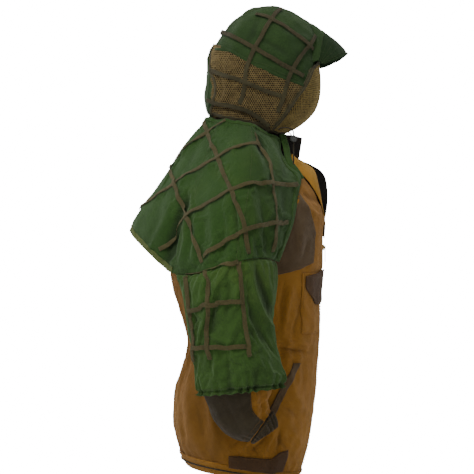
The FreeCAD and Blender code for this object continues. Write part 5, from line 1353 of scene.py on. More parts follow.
H_ACROSS = [
    [(256, 15), (265, 17), (274.4, 22), (285, 28.5), (296, 36.5), (305.5, 44.0), (311, 49)],
    [(221.5, 32), (232, 36.8), (244, 42.8), (255, 48.5), (266, 54.8), (277, 61.2), (287, 67.5), (303, 76.0)],
    [(211.5, 70.5), (221, 74.3), (231, 77.5), (242.5, 80.4), (252, 85.2), (261.6, 89.8), (271, 93), (281, 96.0)],
    [(209.5, 100), (217, 103), (228, 105), (239, 107.5), (249.5, 110.5), (257.5, 115.5), (263.5, 121.5), (269, 126.0)],
]
H_DOWN = [
    [(280.5, 10.5), (273, 17), (267, 27), (261.5, 37), (256, 46), (251.5, 55), (247, 66), (245, 78), (245.5, 90), (243, 99), (240, 104)],
    [(314, 36), (309.5, 43), (303, 51), (298, 59), (293, 67), (289, 75), (286, 84), (284.5, 93), (281.5, 103), (277.5, 112)],
]
for sgn, nm in ((1, "right"), (-1, "left")):
    HD = HoodDraft(sgn)
    put(side_net("hood_net_mesh_" + nm, HD, seed=5 + sgn, lift=2.1), "hood", NET, ["hood_net_" + nm])
    # dark sheet under the side net: painted shadow for the hood's dark inside
    put(cut_side_sheet("hood_net_painted_shadow_" + nm, HD, 1.35), "hood", INSIDE_SHADOW)
    put(cut_side_sheet("hood_back_gusset_" + nm, HD, 0.9, BACK_POLY), "hood", HOOD_GREEN)
    jb = np.array([(240, 56.4), (231, 51.2), (222, 47.0)], float)
    jq = cat(jb, np.linspace(0, 2, 22))
    path_strip("hood_join_back_" + nm, "hood", HOOD_GREEN, HD.pos(jq[:, 0], jq[:, 1]), HD.nor(jq[:, 0], jq[:, 1]), 5.5, 1.2, 2.6)
    bt = np.array([(212.6, 52), (211.4, 62), (211.8, 71), (214.4, 79), (216.4, 86), (216.6, 93), (214.4, 100), (212.2, 107), (213.0, 114)], float)
    bq = cat(bt, np.linspace(0, 8, 60))
    path_strip("hood_back_tape_" + nm, "hood", TAPE_DARK, HD.pos(bq[:, 0], bq[:, 1]), HD.nor(bq[:, 0], bq[:, 1]), 6.5, 1.2, 3.2, wav=0.8, seed=2)
    for i, pth in enumerate(H_ACROSS):
        tm = TAPE_DARK
        ob, _, _ = tape_strip("hood_tape_across_%d_%s" % (i, nm), "hood", tm, HD, pth, lift=3.6, bow=2.6, seed=80 + i + 9 * sgn, width=9.2)
        put(ob, "hood", tm, ["hood_tapes_across"])
    for i, pth in enumerate(H_DOWN):
        ob, _, _ = tape_strip("hood_tape_down_%d_%s" % (i, nm), "hood", TAPE_DARK, HD, pth, lift=2.9, bow=2.2, seed=90 + i + 9 * sgn, width=9.2)
        put(ob, "hood", TAPE_DARK, ["hood_tapes_down"])
    # face edge: drawcord channel
    ed = np.array([(311.5, 69), (304.2, 85.0), (295.5, 97), (287.5, 109), (279.5, 120.5), (271.5, 129)], float)
    q = cat(ed, np.linspace(0, 5, 40))
    E = HD.pos(q[:, 0], q[:, 1]) + np.array([0, -4.5, 0])
    tube_mesh("face_edge_roll_" + nm, E[::3], 2.9, "hood", TAPE_DARK, ["face_edge_channel"], braid=False, sides=12)
    nn = HD.nor(q[:, 0], q[:, 1])
    path_strip("face_edge_binding_" + nm, "hood", TAPE_DARK, HD.pos(q[:, 0], q[:, 1]) + np.array([0, -1.0, 0]), nn, 9.0, 1.2, 1.4)
    stitch_line(("hood", THREAD, "hood", "hood_cloth"), HD.pos(q[:, 0] - 2.2, q[:, 1]) + nn * 2.6, nn)

# ------------------------------------------------------------------ peak
PEAK_ROOT = np.array([(0, -177, 969), (-16, -176, 966.5), (-30, -174.5, 957), (-46, -173, 936), (-58.5, -172, 915), (-66, -171, 897)], float)
PEAK_RIM = np.array([(0, -238, 919), (-18, -236, 917), (-36, -228, 911), (-52, -213, 903.5), (-62, -197, 897), (-67, -181, 891.5)], float)


def peak_f(t, s):
    a = np.abs(s) * 5
    root, rim = cat(PEAK_ROOT, a), cat(PEAK_RIM, a)
    p = root + (rim - root) * t[..., None]
    p[..., 0] = np.where(s > 0, p[..., 0], -p[..., 0])
    p[..., 2] += 5.0 * np.sin(np.pi * np.clip(t, 0, 1)) * np.clip(1 - s * s, 0, 1)
    nz = Noise(41)
    p[..., 2] += 0.5 * nz(p[..., 0], p[..., 1], 50.0)
    return p


def free_sheet(f, a, b, na, nb, centre, lift=0.0):
    A, B = np.meshgrid(np.linspace(a[0], a[1], na), np.linspace(b[0], b[1], nb), indexing="ij")
    P = f(A, B)
    N = outward(normals_of(P), P, centre)
    P = P + N * lift
    return Sheet(P, N, a, b)


PK = free_sheet(peak_f, (0.0, 1.0), (-1.0, 1.0), 26, 120, (0.0, -180.0, 700.0))
for nm, off in (("top", 1.7), ("under", -1.7)):
    A, B = np.meshgrid(np.linspace(0.0, 1.0, 26), np.linspace(-1, 1, 120), indexing="ij")
    edge = 1 - smooth(0.86, 1.0, A) * 0.9
    P = PK.pos(A, B) + PK.nor(A, B) * (off * edge)[..., None]
    ob = grid_mesh("peak_cloth_" + nm, P)
    thicken(ob, 1.1, 0.0)
    put(ob, "peak", PEAK_GREEN, ["peak_top"] if nm == "top" else ["peak_underside"])
B = np.linspace(-1, 1, 60)
tube_mesh("peak_rim_piping", PK.pos(0 * B + 1.0, B)[::2], 2.1, "peak", PEAK_GREEN, braid=False, sides=12)
for tv in (0.90, 0.72, 0.54, 0.36, 0.18):
    B = np.linspace(-0.97, 0.97, 120)
    stitch_line(("peak", THREAD, "peak", "hood_cloth"), PK.pos(0 * B + tv, B) + PK.nor(0 * B + tv, B) * 2.25, PK.nor(0 * B + tv, B))
B = np.linspace(-0.99, 0.99, 90)
path_strip("peak_root_tape", "peak", PEAK_GREEN, PK.pos(0 * B + 0.03, B), PK.nor(0 * B + 0.03, B), 7.0, 1.0, 2.6)

# cloth carried over from the hood's brow on to the peak; it bends at the peak's root
_s = np.linspace(-1, 1, 141)
_bh = np.array([hood_polar(np.array(x), np.array(math.radians(a))) for x, a in ((0, 47), (-14, 46), (-28, 43), (-44, 36), (-57, 26), (-66, 14))])
_bq = cat(_bh, np.abs(_s) * 5)
_bq[:, 0] = np.where(_s > 0, _bq[:, 0], -_bq[:, 0])
_bn = _bq - HOOD_CM
_bn /= np.linalg.norm(_bn, axis=1, keepdims=True)
_H = _bq + _bn * (hood_disp(_bq) + 1.5)[:, None]
_M = PK.pos(0 * _s, _s) + PK.nor(0 * _s, _s) * 3.4
_K = PK.pos(0 * _s + 0.17, _s) + PK.nor(0 * _s + 0.17, _s) * 2.7
_t = np.linspace(0, 1, 22)
_G = np.stack([cat(np.stack([_H[i], (_H[i] + _M[i]) / 2 + _bn[i] * 1.0, _M[i], _K[i]]), _t * 3) for i in range(len(_s))], 1)
_GN = outward(normals_of(_G), _G, (0, -150, 880))
ob = shell_mesh("brow_cloth", _G, _GN, 1.2)
paint(ob, HOOD_GREEN)
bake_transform(ob)

# ------------------------------------------------------------------ face veil
VEIL_MID = np.array([(318.5, 59), (320.5, 77), (319.5, 95), (315, 110), (306, 121), (294, 129.5), (283, 134.0)], float)
VEIL_SIDE = np.array([(309, 71), (299, 86), (289, 98.5), (281, 109), (275, 117.5), (270, 125), (266, 131)], float)
VEIL_X = np.array([(-74,), (-77,), (-78,), (-77,), (-74,), (-68,), (-60,)], float)
_vn = Noise(31)


def veil_f(t, s):
    a = np.abs(s)
    cen, sid, xs = cat(VEIL_MID, t * 6), cat(VEIL_SIDE, t * 6), cat(VEIL_X, t * 6)[..., 0]
    k = 1 - np.cos(a * np.pi / 2).clip(0) ** 0.85
    q = draft(cen[..., 0] + (sid[..., 0] - cen[..., 0]) * k, cen[..., 1] + (sid[..., 1] - cen[..., 1]) * k, xs * np.sin(a * np.pi / 2))
    q[..., 0] = np.where(s > 0, q[..., 0], -q[..., 0])
    return q


def veil_sheet():
    A, B = np.meshgrid(np.linspace(0.015, 1, 90), np.linspace(-1, 1, 160), indexing="ij")
    P = veil_f(A, B)
    N = outward(normals_of(P), P, (0, -60, 820))
    mid = smooth(0.0, 0.35, A) * (1 - smooth(0.8, 1.0, np.abs(B)))
    d = mid * (1.1 * np.sin(B * 15 + 2.0 * np.sin(A * 4)) + 0.8 * _vn(B * 90, A * 90, 60.0))
    P = P + N * d[..., None]
    return Sheet(P, outward(normals_of(P), P, (0, -60, 820)), (0.015, 1), (-1, 1))


VS = veil_sheet()
hex_net("face_veil_mesh", VS, 178.0, 240.0, 4.6, 0.64, 0.8, "veil", VEIL_NET, ["face_veil"], seed=9)
# dark sheet behind the veil: painted shadow for the dark inside
painted_shadow_sheet("face_veil_painted_shadow", VS, -2.0, "veil", INSIDE_SHADOW, 60, 90)
B = np.linspace(-0.98, 0.98, 120)
path_strip("veil_top_binding_mesh", "veil", TAPE_DARK, VS.pos(0 * B + 0.03, B), VS.nor(0 * B + 0.03, B), 8.0, 1.2, 1.2, replaces=["veil_top_binding"])
path_strip("veil_low_binding", "veil", TAPE_DARK, VS.pos(0 * B + 0.985, B), VS.nor(0 * B + 0.985, B), 7.0, 1.2, 0.9)
stitch_line(("veil", THREAD, "veil", "garnish_tape"), VS.pos(0 * B + 0.045, B) + VS.nor(0 * B + 0.045, B) * 2.0, VS.nor(0 * B + 0.045, B))

# ------------------------------------------------------------------ cloth inside the neck, from the cape up into the hood
def by_angle(P, n):
    a = np.unwrap(np.arctan2(P[:, 0], P[:, 1] + 15.0))
    if a[-1] < a[0]:
        a = -a
    g = np.linspace(a[0], a[-1], n)
    return np.stack([np.interp(g, a, P[:, k]) for k in range(3)], -1)


def inward(P, d):
    n = np.stack([P[:, 0], P[:, 1] + 15.0, 0 * P[:, 0]], -1)
    return P - n / (np.linalg.norm(n, axis=1, keepdims=True) + 1e-9) * d


_q = cat(np.array([(267, 129.5), (258, 124.8), (250, 122.5), (241, 120.6), (231, 119), (222, 117.6), (215, 117)], float), np.linspace(0, 6, 40))
_r = HoodDraft(1).base(_q[:, 0], _q[:, 1])
_ns = np.linspace(0.8, -0.8, 15)
_ring = np.concatenate([_r, STRIP_S.pos(A_NAPE + 0 * _ns, _ns), _r[::-1] * np.array([-1, 1, 1])])
_hr = by_angle(_ring, 200)
_c = np.linspace(6.6, -6.6, 300)
_cr = [by_angle(CAPE_S.pos(rv + 0 * _c, _c), 200) for rv in (0.55, 0.12)]
_rows = np.stack([inward(_cr[0], 8.0), inward(_cr[1], 6.0), inward(_hr, 7.0) - np.array([0, 0, 2.0]), inward(_hr, 10.0) + np.array([0, 0, 16.0])])
_t = np.linspace(0, 3, 26)
_G = np.stack([cat(_rows[:, i], _t) for i in range(200)], 1)
_GN = outward(normals_of(_G), _G, (0, -15, 760))
_G = _G + _GN * (0.9 * np.sin(np.arange(200) * 0.9))[None, :, None]
ob = shell_mesh("neck_cloth", _G, _GN, 1.0)
paint(ob, TAPE_DARK)
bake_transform(ob)

# ------------------------------------------------------------------ smock body
TZ = [0, 30, 70, 130, 190, 240, 285, 330, 380, 430, 500, 560, 610, 650, 685, 712, 730]
TB = [112, 128, 138, 141, 137, 118, 106, 120, 137, 146, 150, 146, 134, 120, 104, 88, 76]
TF = [-118, -136, -150, -160, -168, -172, -173.73, -175.46, -177.38, -179.31, -182, -184.3, -168, -140, -105, -78, -64]
TA = [160, 176, 188, 192, 191, 188, 185, 187, 190, 191, 192, 190, 184, 170, 142, 105, 82]


def torso(th, z):
    zz = np.clip(z, 0.0, 730.0)
    yb, yf, a = table(TZ, TB, zz), table(TZ, TF, zz), table(TZ, TA, zz)
    yc = 0.42 * yb + 0.58 * yf + 0.08 * (yb - yf)
    t = np.radians(th)
    c, s = np.cos(t), np.sin(t)
    e = 2.0 / 2.35
    x = -a * np.sign(s) * np.abs(s) ** e
    half = np.where(c > 0, yc - yf, yb - yc)
    y = yc - half * np.sign(c) * np.abs(c) ** e
    w = np.clip(1.0 - np.clip(z - 30.0, 0, None) / 110.0, 0, 1) ** 1.5
    return np.stack([x, y, z + w * 0.16 * y], -1)


NECK_EDGE_Z = [430.0, 500.0, 515.0, 548.0, 590.0, 628.0, 668.0, 700.0]
NECK_EDGE_X = [-9.0, -9.0, -14.0, -36.0, -56.0, -68.0, -72.0, -68.0]
_ths = np.linspace(0, 88, 177)


def th_at(x, z):
    x, z = np.broadcast_arrays(np.asarray(x, float), np.asarray(z, float))
    out = np.zeros(x.shape)
    for i in np.ndindex(x.shape):
        out[i] = np.interp(-x[i], -torso(_ths, z[i] + 0 * _ths)[:, 0], _ths)
    return out


SMOCK_FOLDS = [
    ([(268, 430), (258, 435), (246, 444), (236, 453)], 2.0, 4.8),
    ([(266, 426), (254, 431), (243, 438), (232, 446)], 2.0, -4.2),
    ([(270, 434), (262, 441), (252, 451)], 1.9, -4.8),
    ([(274, 431), (270, 440), (264, 452)], 2.0, 4.4),
    ([(280, 428), (279, 440), (276, 452)], 2.2, -4.4),
    ([(277, 346), (286, 348.5), (296, 350.5), (306, 351)], 2.4, -5.0),
    ([(276, 341.5), (287, 343), (298, 345), (307, 346)], 2.6, 3.6),
    ([(279, 354), (290, 356), (302, 357)], 2.6, 3.2),
    ([(293, 283), (288, 300), (284, 320), (283, 338)], 3.2, 4.6),
    ([(302, 300), (298, 314), (294, 328), (293, 340)], 3.0, -4.2),
    ([(285, 280), (282, 300), (281, 322)], 3.0, -3.6),
    ([(311, 310), (309, 330), (307, 352), (307, 375)], 4.0, 3.4),
    ([(317, 306), (315, 326), (312, 346)], 3.0, -2.6),
    ([(296, 398), (300, 404), (303, 412)], 4.0, 4.0),
    ([(281, 404), (290, 411), (300, 420)], 3.4, -3.6),
    ([(286, 366), (292, 384), (296, 402)], 4.0, 3.4),
    ([(302, 360), (304, 382), (306, 404)], 3.6, -3.0),
    ([(296, 196), (303, 205), (312, 213), (322, 219)], 3.6, 5.0, 0.4),
    ([(300, 190), (309, 198), (318, 203)], 3.2, -4.6),
    ([(304, 224), (300, 240), (296, 256)], 4.0, 3.6),
    ([(309, 232), (306, 246), (301, 262)], 2.6, -3.2),
    ([(317, 226), (317, 244), (314, 262)], 3.0, 3.0),
    ([(250, 444), (256, 452), (262, 460)], 2.4, -3.0),
    ([(243, 444), (246, 452), (247, 460)], 2.2, 2.8),
    ([(236, 444), (238, 453), (240, 462)], 2.2, -2.6),
    ([(228, 442), (230, 450), (233, 459)], 2.2, 2.6),
    ([(207, 402), (212, 420), (218, 440)], 4.0, 3.2),
    ([(196, 400), (200, 420), (205, 444)], 4.0, -3.0),
    ([(186, 396), (188, 420), (190, 446)], 4.0, 2.8),
    ([(289, 430), (296, 438), (300, 448)], 3.4, 3.2),
    ([(276, 436), (283, 444), (290, 452)], 3.0, -3.0),
]
_sn1, _sn2, _sn3 = Noise(51), Noise(52, lo=0.8, hi=1.8), Noise(53)


def smock_disp(P):
    U, W = to_px(P)
    f, g = creases(U, W, SMOCK_FOLDS), creases(U + 3 * np.sin(W / 17), W + 4, SMOCK_FOLDS)
    d = np.where(P[..., 0] < 0, f, g) * smooth(12, 40, np.abs(P[..., 0]))
    arc = np.arctan2(P[..., 0], -P[..., 1]) * 170
    d = d + 1.5 * _sn1(arc, P[..., 2] * 0.6, 110.0) + 0.8 * _sn2(arc * 1.1, P[..., 2], 42.0)
    # drawn in at the waist, with gathers fanning from it
    wz = np.exp(-((P[..., 2] - 268) / 36.0) ** 2)
    d = d + wz * 1.8 * np.sin(arc / 5.6 + 2.0 * np.sin(arc / 31.0)) * smooth(25, 60, np.abs(P[..., 0]))
    back = smooth(0, 60, P[..., 1])
    d = d + back * 2.4 * _sn3(arc * 1.3, P[..., 2] * 0.35, 90.0)
    hem = 1 - smooth(0, 26, P[..., 2] - 0.16 * P[..., 1])
    return d * (1 - 0.6 * hem)


OUTER = []


def outer_tree(sheets):
    V, F, o = [], [], 0
    for P, wrap in sheets:
        P = P[::2, ::2] if not wrap else P[::2]
        idx = np.arange(P.shape[0] * P.shape[1]).reshape(P.shape[:2]) + o
        if wrap:
            idx = np.concatenate([idx, idx[:, :1]], 1)
        F.append(np.stack([idx[:-1, :-1], idx[:-1, 1:], idx[1:, 1:], idx[1:, :-1]], -1).reshape(-1, 4))
        V.append(P.reshape(-1, 3))
        o += P.shape[0] * P.shape[1]
    V, F = np.concatenate(V), np.concatenate(F)
    return BVHTree.FromPolygons([tuple(v) for v in V], [tuple(int(k) for k in f) for f in F])


OUTER.append(outer_tree([(CAPE_S.P, False), (SLEEVE_S["right"].P, True), (SLEEVE_S["left"].P, True)]))


def tuck(P, N, lift, gap=5.0, reach=26.0, low=395.0):
    """Draw points of an under layer in until they lie below the outer cloth that covers them."""
    A, B = P.reshape(-1, 3).copy(), N.reshape(-1, 3)
    ok = (A[:, 2] > low) & ((A[:, 2] < 700) | (np.abs(A[:, 0]) > 60))
    for i in np.nonzero(ok)[0]:
        n = B[i]
        o = A[i] + n * reach
        hit = OUTER[0].ray_cast(o, -n, reach * 1.9)
        if hit[0] is None:
            continue
        s = reach - hit[3]
        want = s - gap + 0.35 * lift
        if want < 0:
            A[i] += n * max(want, -20.0)
    return A.reshape(P.shape)


def body_grid(th, z, lift=0.0):
    P = torso(th, z)
    N = np.stack([P[..., 0], P[..., 1] + 15.0, 0 * P[..., 2]], -1)
    e = 0.3
    du = torso(th + e, z) - torso(th - e, z)
    dv = torso(th, np.clip(z + 1, 0, 730)) - torso(th, np.clip(z - 1, 0, 730))
    n = np.cross(du, dv)
    n /= np.linalg.norm(n, axis=-1, keepdims=True) + 1e-9
    n = n * np.sign((n * N).sum(-1, keepdims=True) + 1e-9)
    Q = P + n * (smock_disp(P) + lift)[..., None]
    return (tuck(Q, n, lift) if Q.ndim > 1 and OUTER else Q), n


zz = np.linspace(16.0, 712.0, 254)
_under = 14.0 * smooth(505, 545, zz) * (1 - smooth(650, 690, zz))
t0 = np.where(zz < 430, 3.0, np.maximum(th_at(np.interp(zz, NECK_EDGE_Z, NECK_EDGE_X) + _under, zz), 3.0))
s = np.linspace(0, 1, 460)
TH = t0[:, None] + (360 - 2 * t0[:, None]) * s[None]
ZZ = np.repeat(zz[:, None], len(s), 1)
SP, SN = body_grid(TH, ZZ, 0.8)
_su2, _sw2 = to_px(SP)
# painted shade in the fold valleys; the colour also darkens towards the back
_shade = 0.5 * smooth(1.2, 6.0, -creases(_su2, _sw2, SMOCK_FOLDS)) + 0.46 * smooth(0, 60, SP[..., 1])
ob = grid_mesh("smock_body", SP, shade=_shade)
thicken(ob, 1.4, 0.0)
put(ob, "suit", MUSTARD, ["smock_front_right", "smock_front_left", "smock_back"])


def on_body(name, A, B, f, lift, thick, mat, replaces=(), body="suit", mirror=True):
    """Overlay patch on the smock: f maps (A, B) to (th, z)."""
    out = []
    for sg, nm in ((1, "right"), (-1, "left")):
        th, z = f(A, B)
        P, n = body_grid(th if sg > 0 else 360 - th, z, lift)
        ob = grid_mesh(name + "_" + nm, P)
        thicken(ob, thick, 0.0)
        put(ob, body.replace("*", nm), mat, [r.replace("*", nm) for r in replaces])
        out.append((P, n))
    return out


def stitch_path(f, pts, lift, tag="suit_brown", mat=None, slot="brown_cloth", body="suit", sides=(1, -1)):
    q = np.asarray(pts, float)
    q = cat(q, np.linspace(0, len(q) - 1, 30 * (len(q) - 1)))
    for sg in sides:
        nm = "right" if sg > 0 else "left"
        th, z = f(q[:, 0], q[:, 1])
        P, n = body_grid(th if sg > 0 else 360 - th, z, lift)
        stitch_line((body.replace("*", nm), mat or THREAD_M, tag + ("_" + nm if "*" in body else ""), slot), P, n)


# brown upper chest and shoulder
def chest_f(A, B):
    th0 = np.interp(430 + 282 * B, [430, 466, 500, 562, 597, 640, 712], [34, 32, 32.2, 42, 46.7, 46, 44])
    th = th0 + (100 - th0) * A
    zb = np.interp(th, [32, 50, 68.5, 100], [462, 446, 435, 430])
    return th, zb + (712 - zb) * B


A, B = np.meshgrid(np.linspace(0, 1, 70), np.linspace(0, 1, 130), indexing="ij")
on_body("chest_brown", A, B, chest_f, 2.6, 1.2, BROWN, ["chest_patches", "shoulder_panels"])
stitch_path(chest_f, [(0.03, 0.0), (0.03, 0.25), (0.03, 0.5), (0.03, 0.75), (0.03, 1.0)], 3.5)
stitch_path(chest_f, [(0.0, 0.015), (0.3, 0.015), (0.7, 0.015), (1.0, 0.015)], 3.5)


def flap_f(S, T):
    x = -141 + 91 * S
    top = 431 + 15 * S
    bot = np.interp(S, [0, 0.08, 0.36, 0.5, 0.9, 1.0], [406, 398, 372, 369, 374, 380])
    z = top + (bot - top) * T
    return th_at(x, z), z


A, B = np.meshgrid(np.linspace(0, 1, 40), np.linspace(0, 1, 26), indexing="ij")
on_body("chest_flap_cloth", A, B, flap_f, 7.4, 1.5, FLAP_BROWN, ["chest_flap_*"], body="flap_*")
stitch_path(flap_f, [(0.04, 0.03), (0.04, 0.5), (0.05, 0.86), (0.17, 0.955), (0.5, 0.955), (0.83, 0.955), (0.95, 0.86), (0.96, 0.5), (0.96, 0.03)], 8.5, tag="flap", body="flap_*")
stitch_path(flap_f, [(0.03, 0.05), (0.5, 0.05), (0.97, 0.05)], 8.5, tag="flap", body="flap_*")


def pocket_f(S, T):
    x, z = -148 + 94 * S, 308 + 130 * T
    return th_at(x, z), z


A, B = np.meshgrid(np.linspace(0, 1, 50), np.linspace(0, 1, 60), indexing="ij")
on_body("chest_pocket_bag", A, B, pocket_f, 3.4, 2.0, MUSTARD, ["chest_pockets"])
stitch_path(pocket_f, [(0.04, 0.97), (0.04, 0.5), (0.04, 0.03), (0.5, 0.03), (0.96, 0.03), (0.96, 0.5), (0.96, 0.97)], 4.9, tag="suit_m", slot="mustard_cloth")


def welt_f(S, T):
    return 50 + 22 * S + 7 * T, 246 - 130 * S


A, B = np.meshgrid(np.linspace(0, 1, 60), np.linspace(0, 1, 9), indexing="ij")
on_body("hand_pocket_welt", A, B, welt_f, 4.0, 2.2, BROWN, ["hand_pocket_welts"])
stitch_path(welt_f, [(0.02, 0.12), (0.5, 0.12), (0.98, 0.12)], 5.4)
stitch_path(welt_f, [(0.02, 0.88), (0.5, 0.88), (0.98, 0.88)], 5.4)


def hip_f(a, b):
    return a, 24 + (np.interp(a, [52, 60, 68, 98], [70, 66, 52, 50]) - 24) * b


A, B = np.meshgrid(np.linspace(52, 98, 50), np.linspace(0, 1, 16), indexing="ij")
on_body("hip_patch", A, B, hip_f, 5.0, 1.8, FLAP_BROWN, ["hip_patches"])
stitch_path(hip_f, [(97, 0.05), (97, 0.95)], 6.2)
stitch_path(hip_f, [(54, 0.93), (62, 0.93), (75, 0.93), (97, 0.93)], 6.2)

# hem band, closed ring
th, h = np.meshgrid(np.linspace(0, 360, 361)[:-1], np.linspace(0, 1, 14), indexing="ij")
th, h = th.T, h.T
P = torso(th, 0 * th + 27.0)
n = np.stack([P[..., 0], P[..., 1], 0 * P[..., 0]], -1)
n /= np.linalg.norm(n, axis=-1, keepdims=True)
P0 = torso(th, 0 * th)
Pg = P0 + (P - P0) * h[..., None]
roll = 3.4 * np.sin(np.pi * np.clip(h, 0, 1)) ** 0.5
Pg = Pg + n * (1.4 + 2.2 * h + roll * 0.5 + 0.5 * np.sin(np.radians(th) * 46) * (1 - h))[..., None]
ob = grid_mesh("hem_band_cloth", Pg, closed_u=True)
thicken(ob, 2.6, 0.0)
put(ob, "suit", MUSTARD, ["hem_band"])
for hv in (0.12, 0.86):
    i = int(hv * 13)
    q = np.concatenate([Pg[i], Pg[i][:1]])
    nn = np.concatenate([n[i], n[i][:1]])
    stitch_line(("suit", THREAD_M, "suit_m", "mustard_cloth"), q + nn * 1.6, nn)

# fly that lies behind the front zip
_z, _x = np.meshgrid(np.linspace(0.0, 452.0, 160), np.linspace(-30.0, 30.0, 13), indexing="ij")
_fy = torso(3.0 + 0 * _z[:, 0], _z[:, 0])[:, 1]
ob = grid_mesh("zip_fly", np.stack([_x, _fy[:, None] + 7.5 + 0.005 * _x ** 2, _z - 9.0 * (1 - smooth(0, 30, _z))], -1))
thicken(ob, 1.4, 0.0)
put(ob, "suit", LINING)

# ------------------------------------------------------------------ lapels
LB = np.array([tuple(torso(th_at(x - 3.0, z), z) + o * body_grid(th_at(x - 3.0, z)[None], np.array([z]))[1][0])
               for z, x, o in zip((690.0, 664.0, 628.0, 590.0, 550.0, 512.0), (-70.0, -71.7, -68.0, -56.0, -36.8, -13.0), (5.6, 5.0, 4.8, 4.6, 4.6, 4.4))])
LB[0] = (-57.0, -109.0, 688.0)
LF_R = np.array([(-46, -108, 694), (-39, -134, 681), (-34, -163, 660), (-30, -171, 612), (-24, -177.5, 567), (-14, -183.5, 520)], float)
LF_L = np.array([(44, -132, 684), (36, -156, 676), (28, -177, 658), (22, -192.5, 622), (17, -187.5, 566), (13, -184, 524)], float)


def lapel_sheet(base, free, nz_seed, sgn):
    A, B = np.meshgrid(np.linspace(0, 5, 110), np.linspace(0, 1, 46), indexing="ij")
    b, f = cat(base, A), cat(free, A)
    m = (b + f) / 2 + np.array([sgn * -5.0, -6.0, 2.0]) * (1 - 0.85 * smooth(2.4, 4.2, A))[..., None]
    P = (1 - B[..., None]) ** 2 * b + 2 * B[..., None] * (1 - B[..., None]) * (2 * m - (b + f) / 2) + B[..., None] ** 2 * f
    N = outward(normals_of(P), P, (0.0, 60.0, 560.0))
    nz = Noise(nz_seed)
    d = (1.0 * nz(A * 35, B * 60, 70.0) + 1.0 * np.sin(A * 3.2 + B * 1.5)) * B
    P = P + N * d[..., None]
    return Sheet(P, N, (0, 5), (0, 1))


for sg, nm, free in ((1, "right", LF_R), (-1, "left", LF_L)):
    base = LB * (1 if sg > 0 else np.array([-1, 1, 1]))
    L = lapel_sheet(base, free, 60 + sg, sg)
    ob = grid_mesh("lapel_" + nm, L.P)
    thicken(ob, 1.3, 0.0)
    put(ob, "suit", MUSTARD_LIGHT, ["front_lapel_" + nm])
    ob = grid_mesh("lapel_lining_" + nm, L.P[1:-1, 14:] - L.N[1:-1, 14:] * 1.9)
    thicken(ob, 1.1, 0.0)
    put(ob, "suit", LINING, ["lapel_lining"])
    a = np.linspace(0.05, 4.95, 120)
    for bv in (0.93, 0.86):
        stitch_line(("suit", THREAD_M, "suit_m", "mustard_cloth"), L.pos(a, bv + 0 * a) + L.nor(a, bv + 0 * a) * 0.9, L.nor(a, bv + 0 * a))
    tube_mesh("lapel_edge_" + nm, (L.pos(a, 1.0 + 0 * a) - L.nor(a, 1.0 + 0 * a) * 0.9)[::6], 1.9, "suit", LINING, braid=False, sides=8)

# black inner facing that stands along the left front edge of the neck opening
_w = np.linspace(165.5, 238, 60)
_u1 = table([165.5, 170, 177, 188, 195, 205, 216, 226, 238], [313, 320.5, 325.5, 327.6, 328.0, 327.6, 325.8, 323.0, 319.5], _w)
_u0 = table([165.5, 190, 215, 238], [300, 306, 312, 314], _w)
_k = np.linspace(0, 1, 16)
_U = _u0[:, None] + (_u1 - _u0)[:, None] * _k[None]
_X = 26.0 - 15.0 * _k[None] ** 1.5 + 0.8 * np.sin(_w / 6.0)[:, None]
_P = draft(_U, np.repeat(_w[:, None], 16, 1), np.abs(_X))
_P[..., 0] = _X
ob = grid_mesh("front_facing_left", _P)
thicken(ob, 1.6, 0.0)
put(ob, "suit", LINING)

# ------------------------------------------------------------------ collar
CL = np.array([(0, 60, 712), (-42, 54, 711), (-68, 28, 709), (-74, -12, 707), (-64, -52, 706), (-46, -88, 702), (-40, -113, 694), (-37, -131, 685)], float)
CT = np.array([(0, 56, 742), (-40, 50, 742), (-64, 25, 741), (-69, -12, 739), (-59, -52, 737), (-43, -90, 738), (-37, -117, 737), (-35, -138, 731)], float)
for sg, nm in ((1, "right"), (-1, "left")):
    m = np.array([sg, 1, 1.0])
    A, B = np.meshgrid(np.linspace(0, 7, 120), np.linspace(0, 1, 22), indexing="ij")
    lo, hi = cat(CL, A) * m, cat(CT, A) * m
    P = lo + (hi - lo) * B[..., None]
    N = outward(normals_of(P), P, (0, -20, 720))
    nz = Noise(70 + sg)
    P = P + N * (1.0 * nz(A * 25, B * 20, 50.0) + 2.0 * np.sin(np.pi * B))[..., None]
    ob = grid_mesh("collar_outer_" + nm, P)
    thicken(ob, 2.0, 0.0)
    put(ob, "suit", LINING, ["smock_collar"])
    lo2 = lo + (lo - hi) * 0.7
    B2 = np.linspace(-0.7, 1.0, 30)[None, :, None]
    Pi = cat(CL, A[:, :1]) * m + ((cat(CT, A[:, :1]) - cat(CL, A[:, :1])) * m) * B2
    Ni = outward(normals_of(Pi), Pi, (0, -20, 720))
    ob = grid_mesh("collar_inner_" + nm, Pi - Ni * 2.2)
    thicken(ob, 1.4, 0.0)
    put(ob, "suit", LINING, ["collar_lining"])
    for bv in (0.12, 0.9):
        i = int(bv * 21)
        stitch_line(("suit", THREAD_M, "suit_m", "mustard_cloth"), P[:, i] + N[:, i] * 1.3, N[:, i])
path_strip("hanger_loop_tape", "suit", TAPE_DARK, [(-22, 50, 734), (-16, 45, 723), (0, 43, 718), (16, 45, 723), (22, 50, 734)], [(0, -1, 0)] * 5,
           8.0, 1.2, 0.6, replaces=["hanger_loop"])

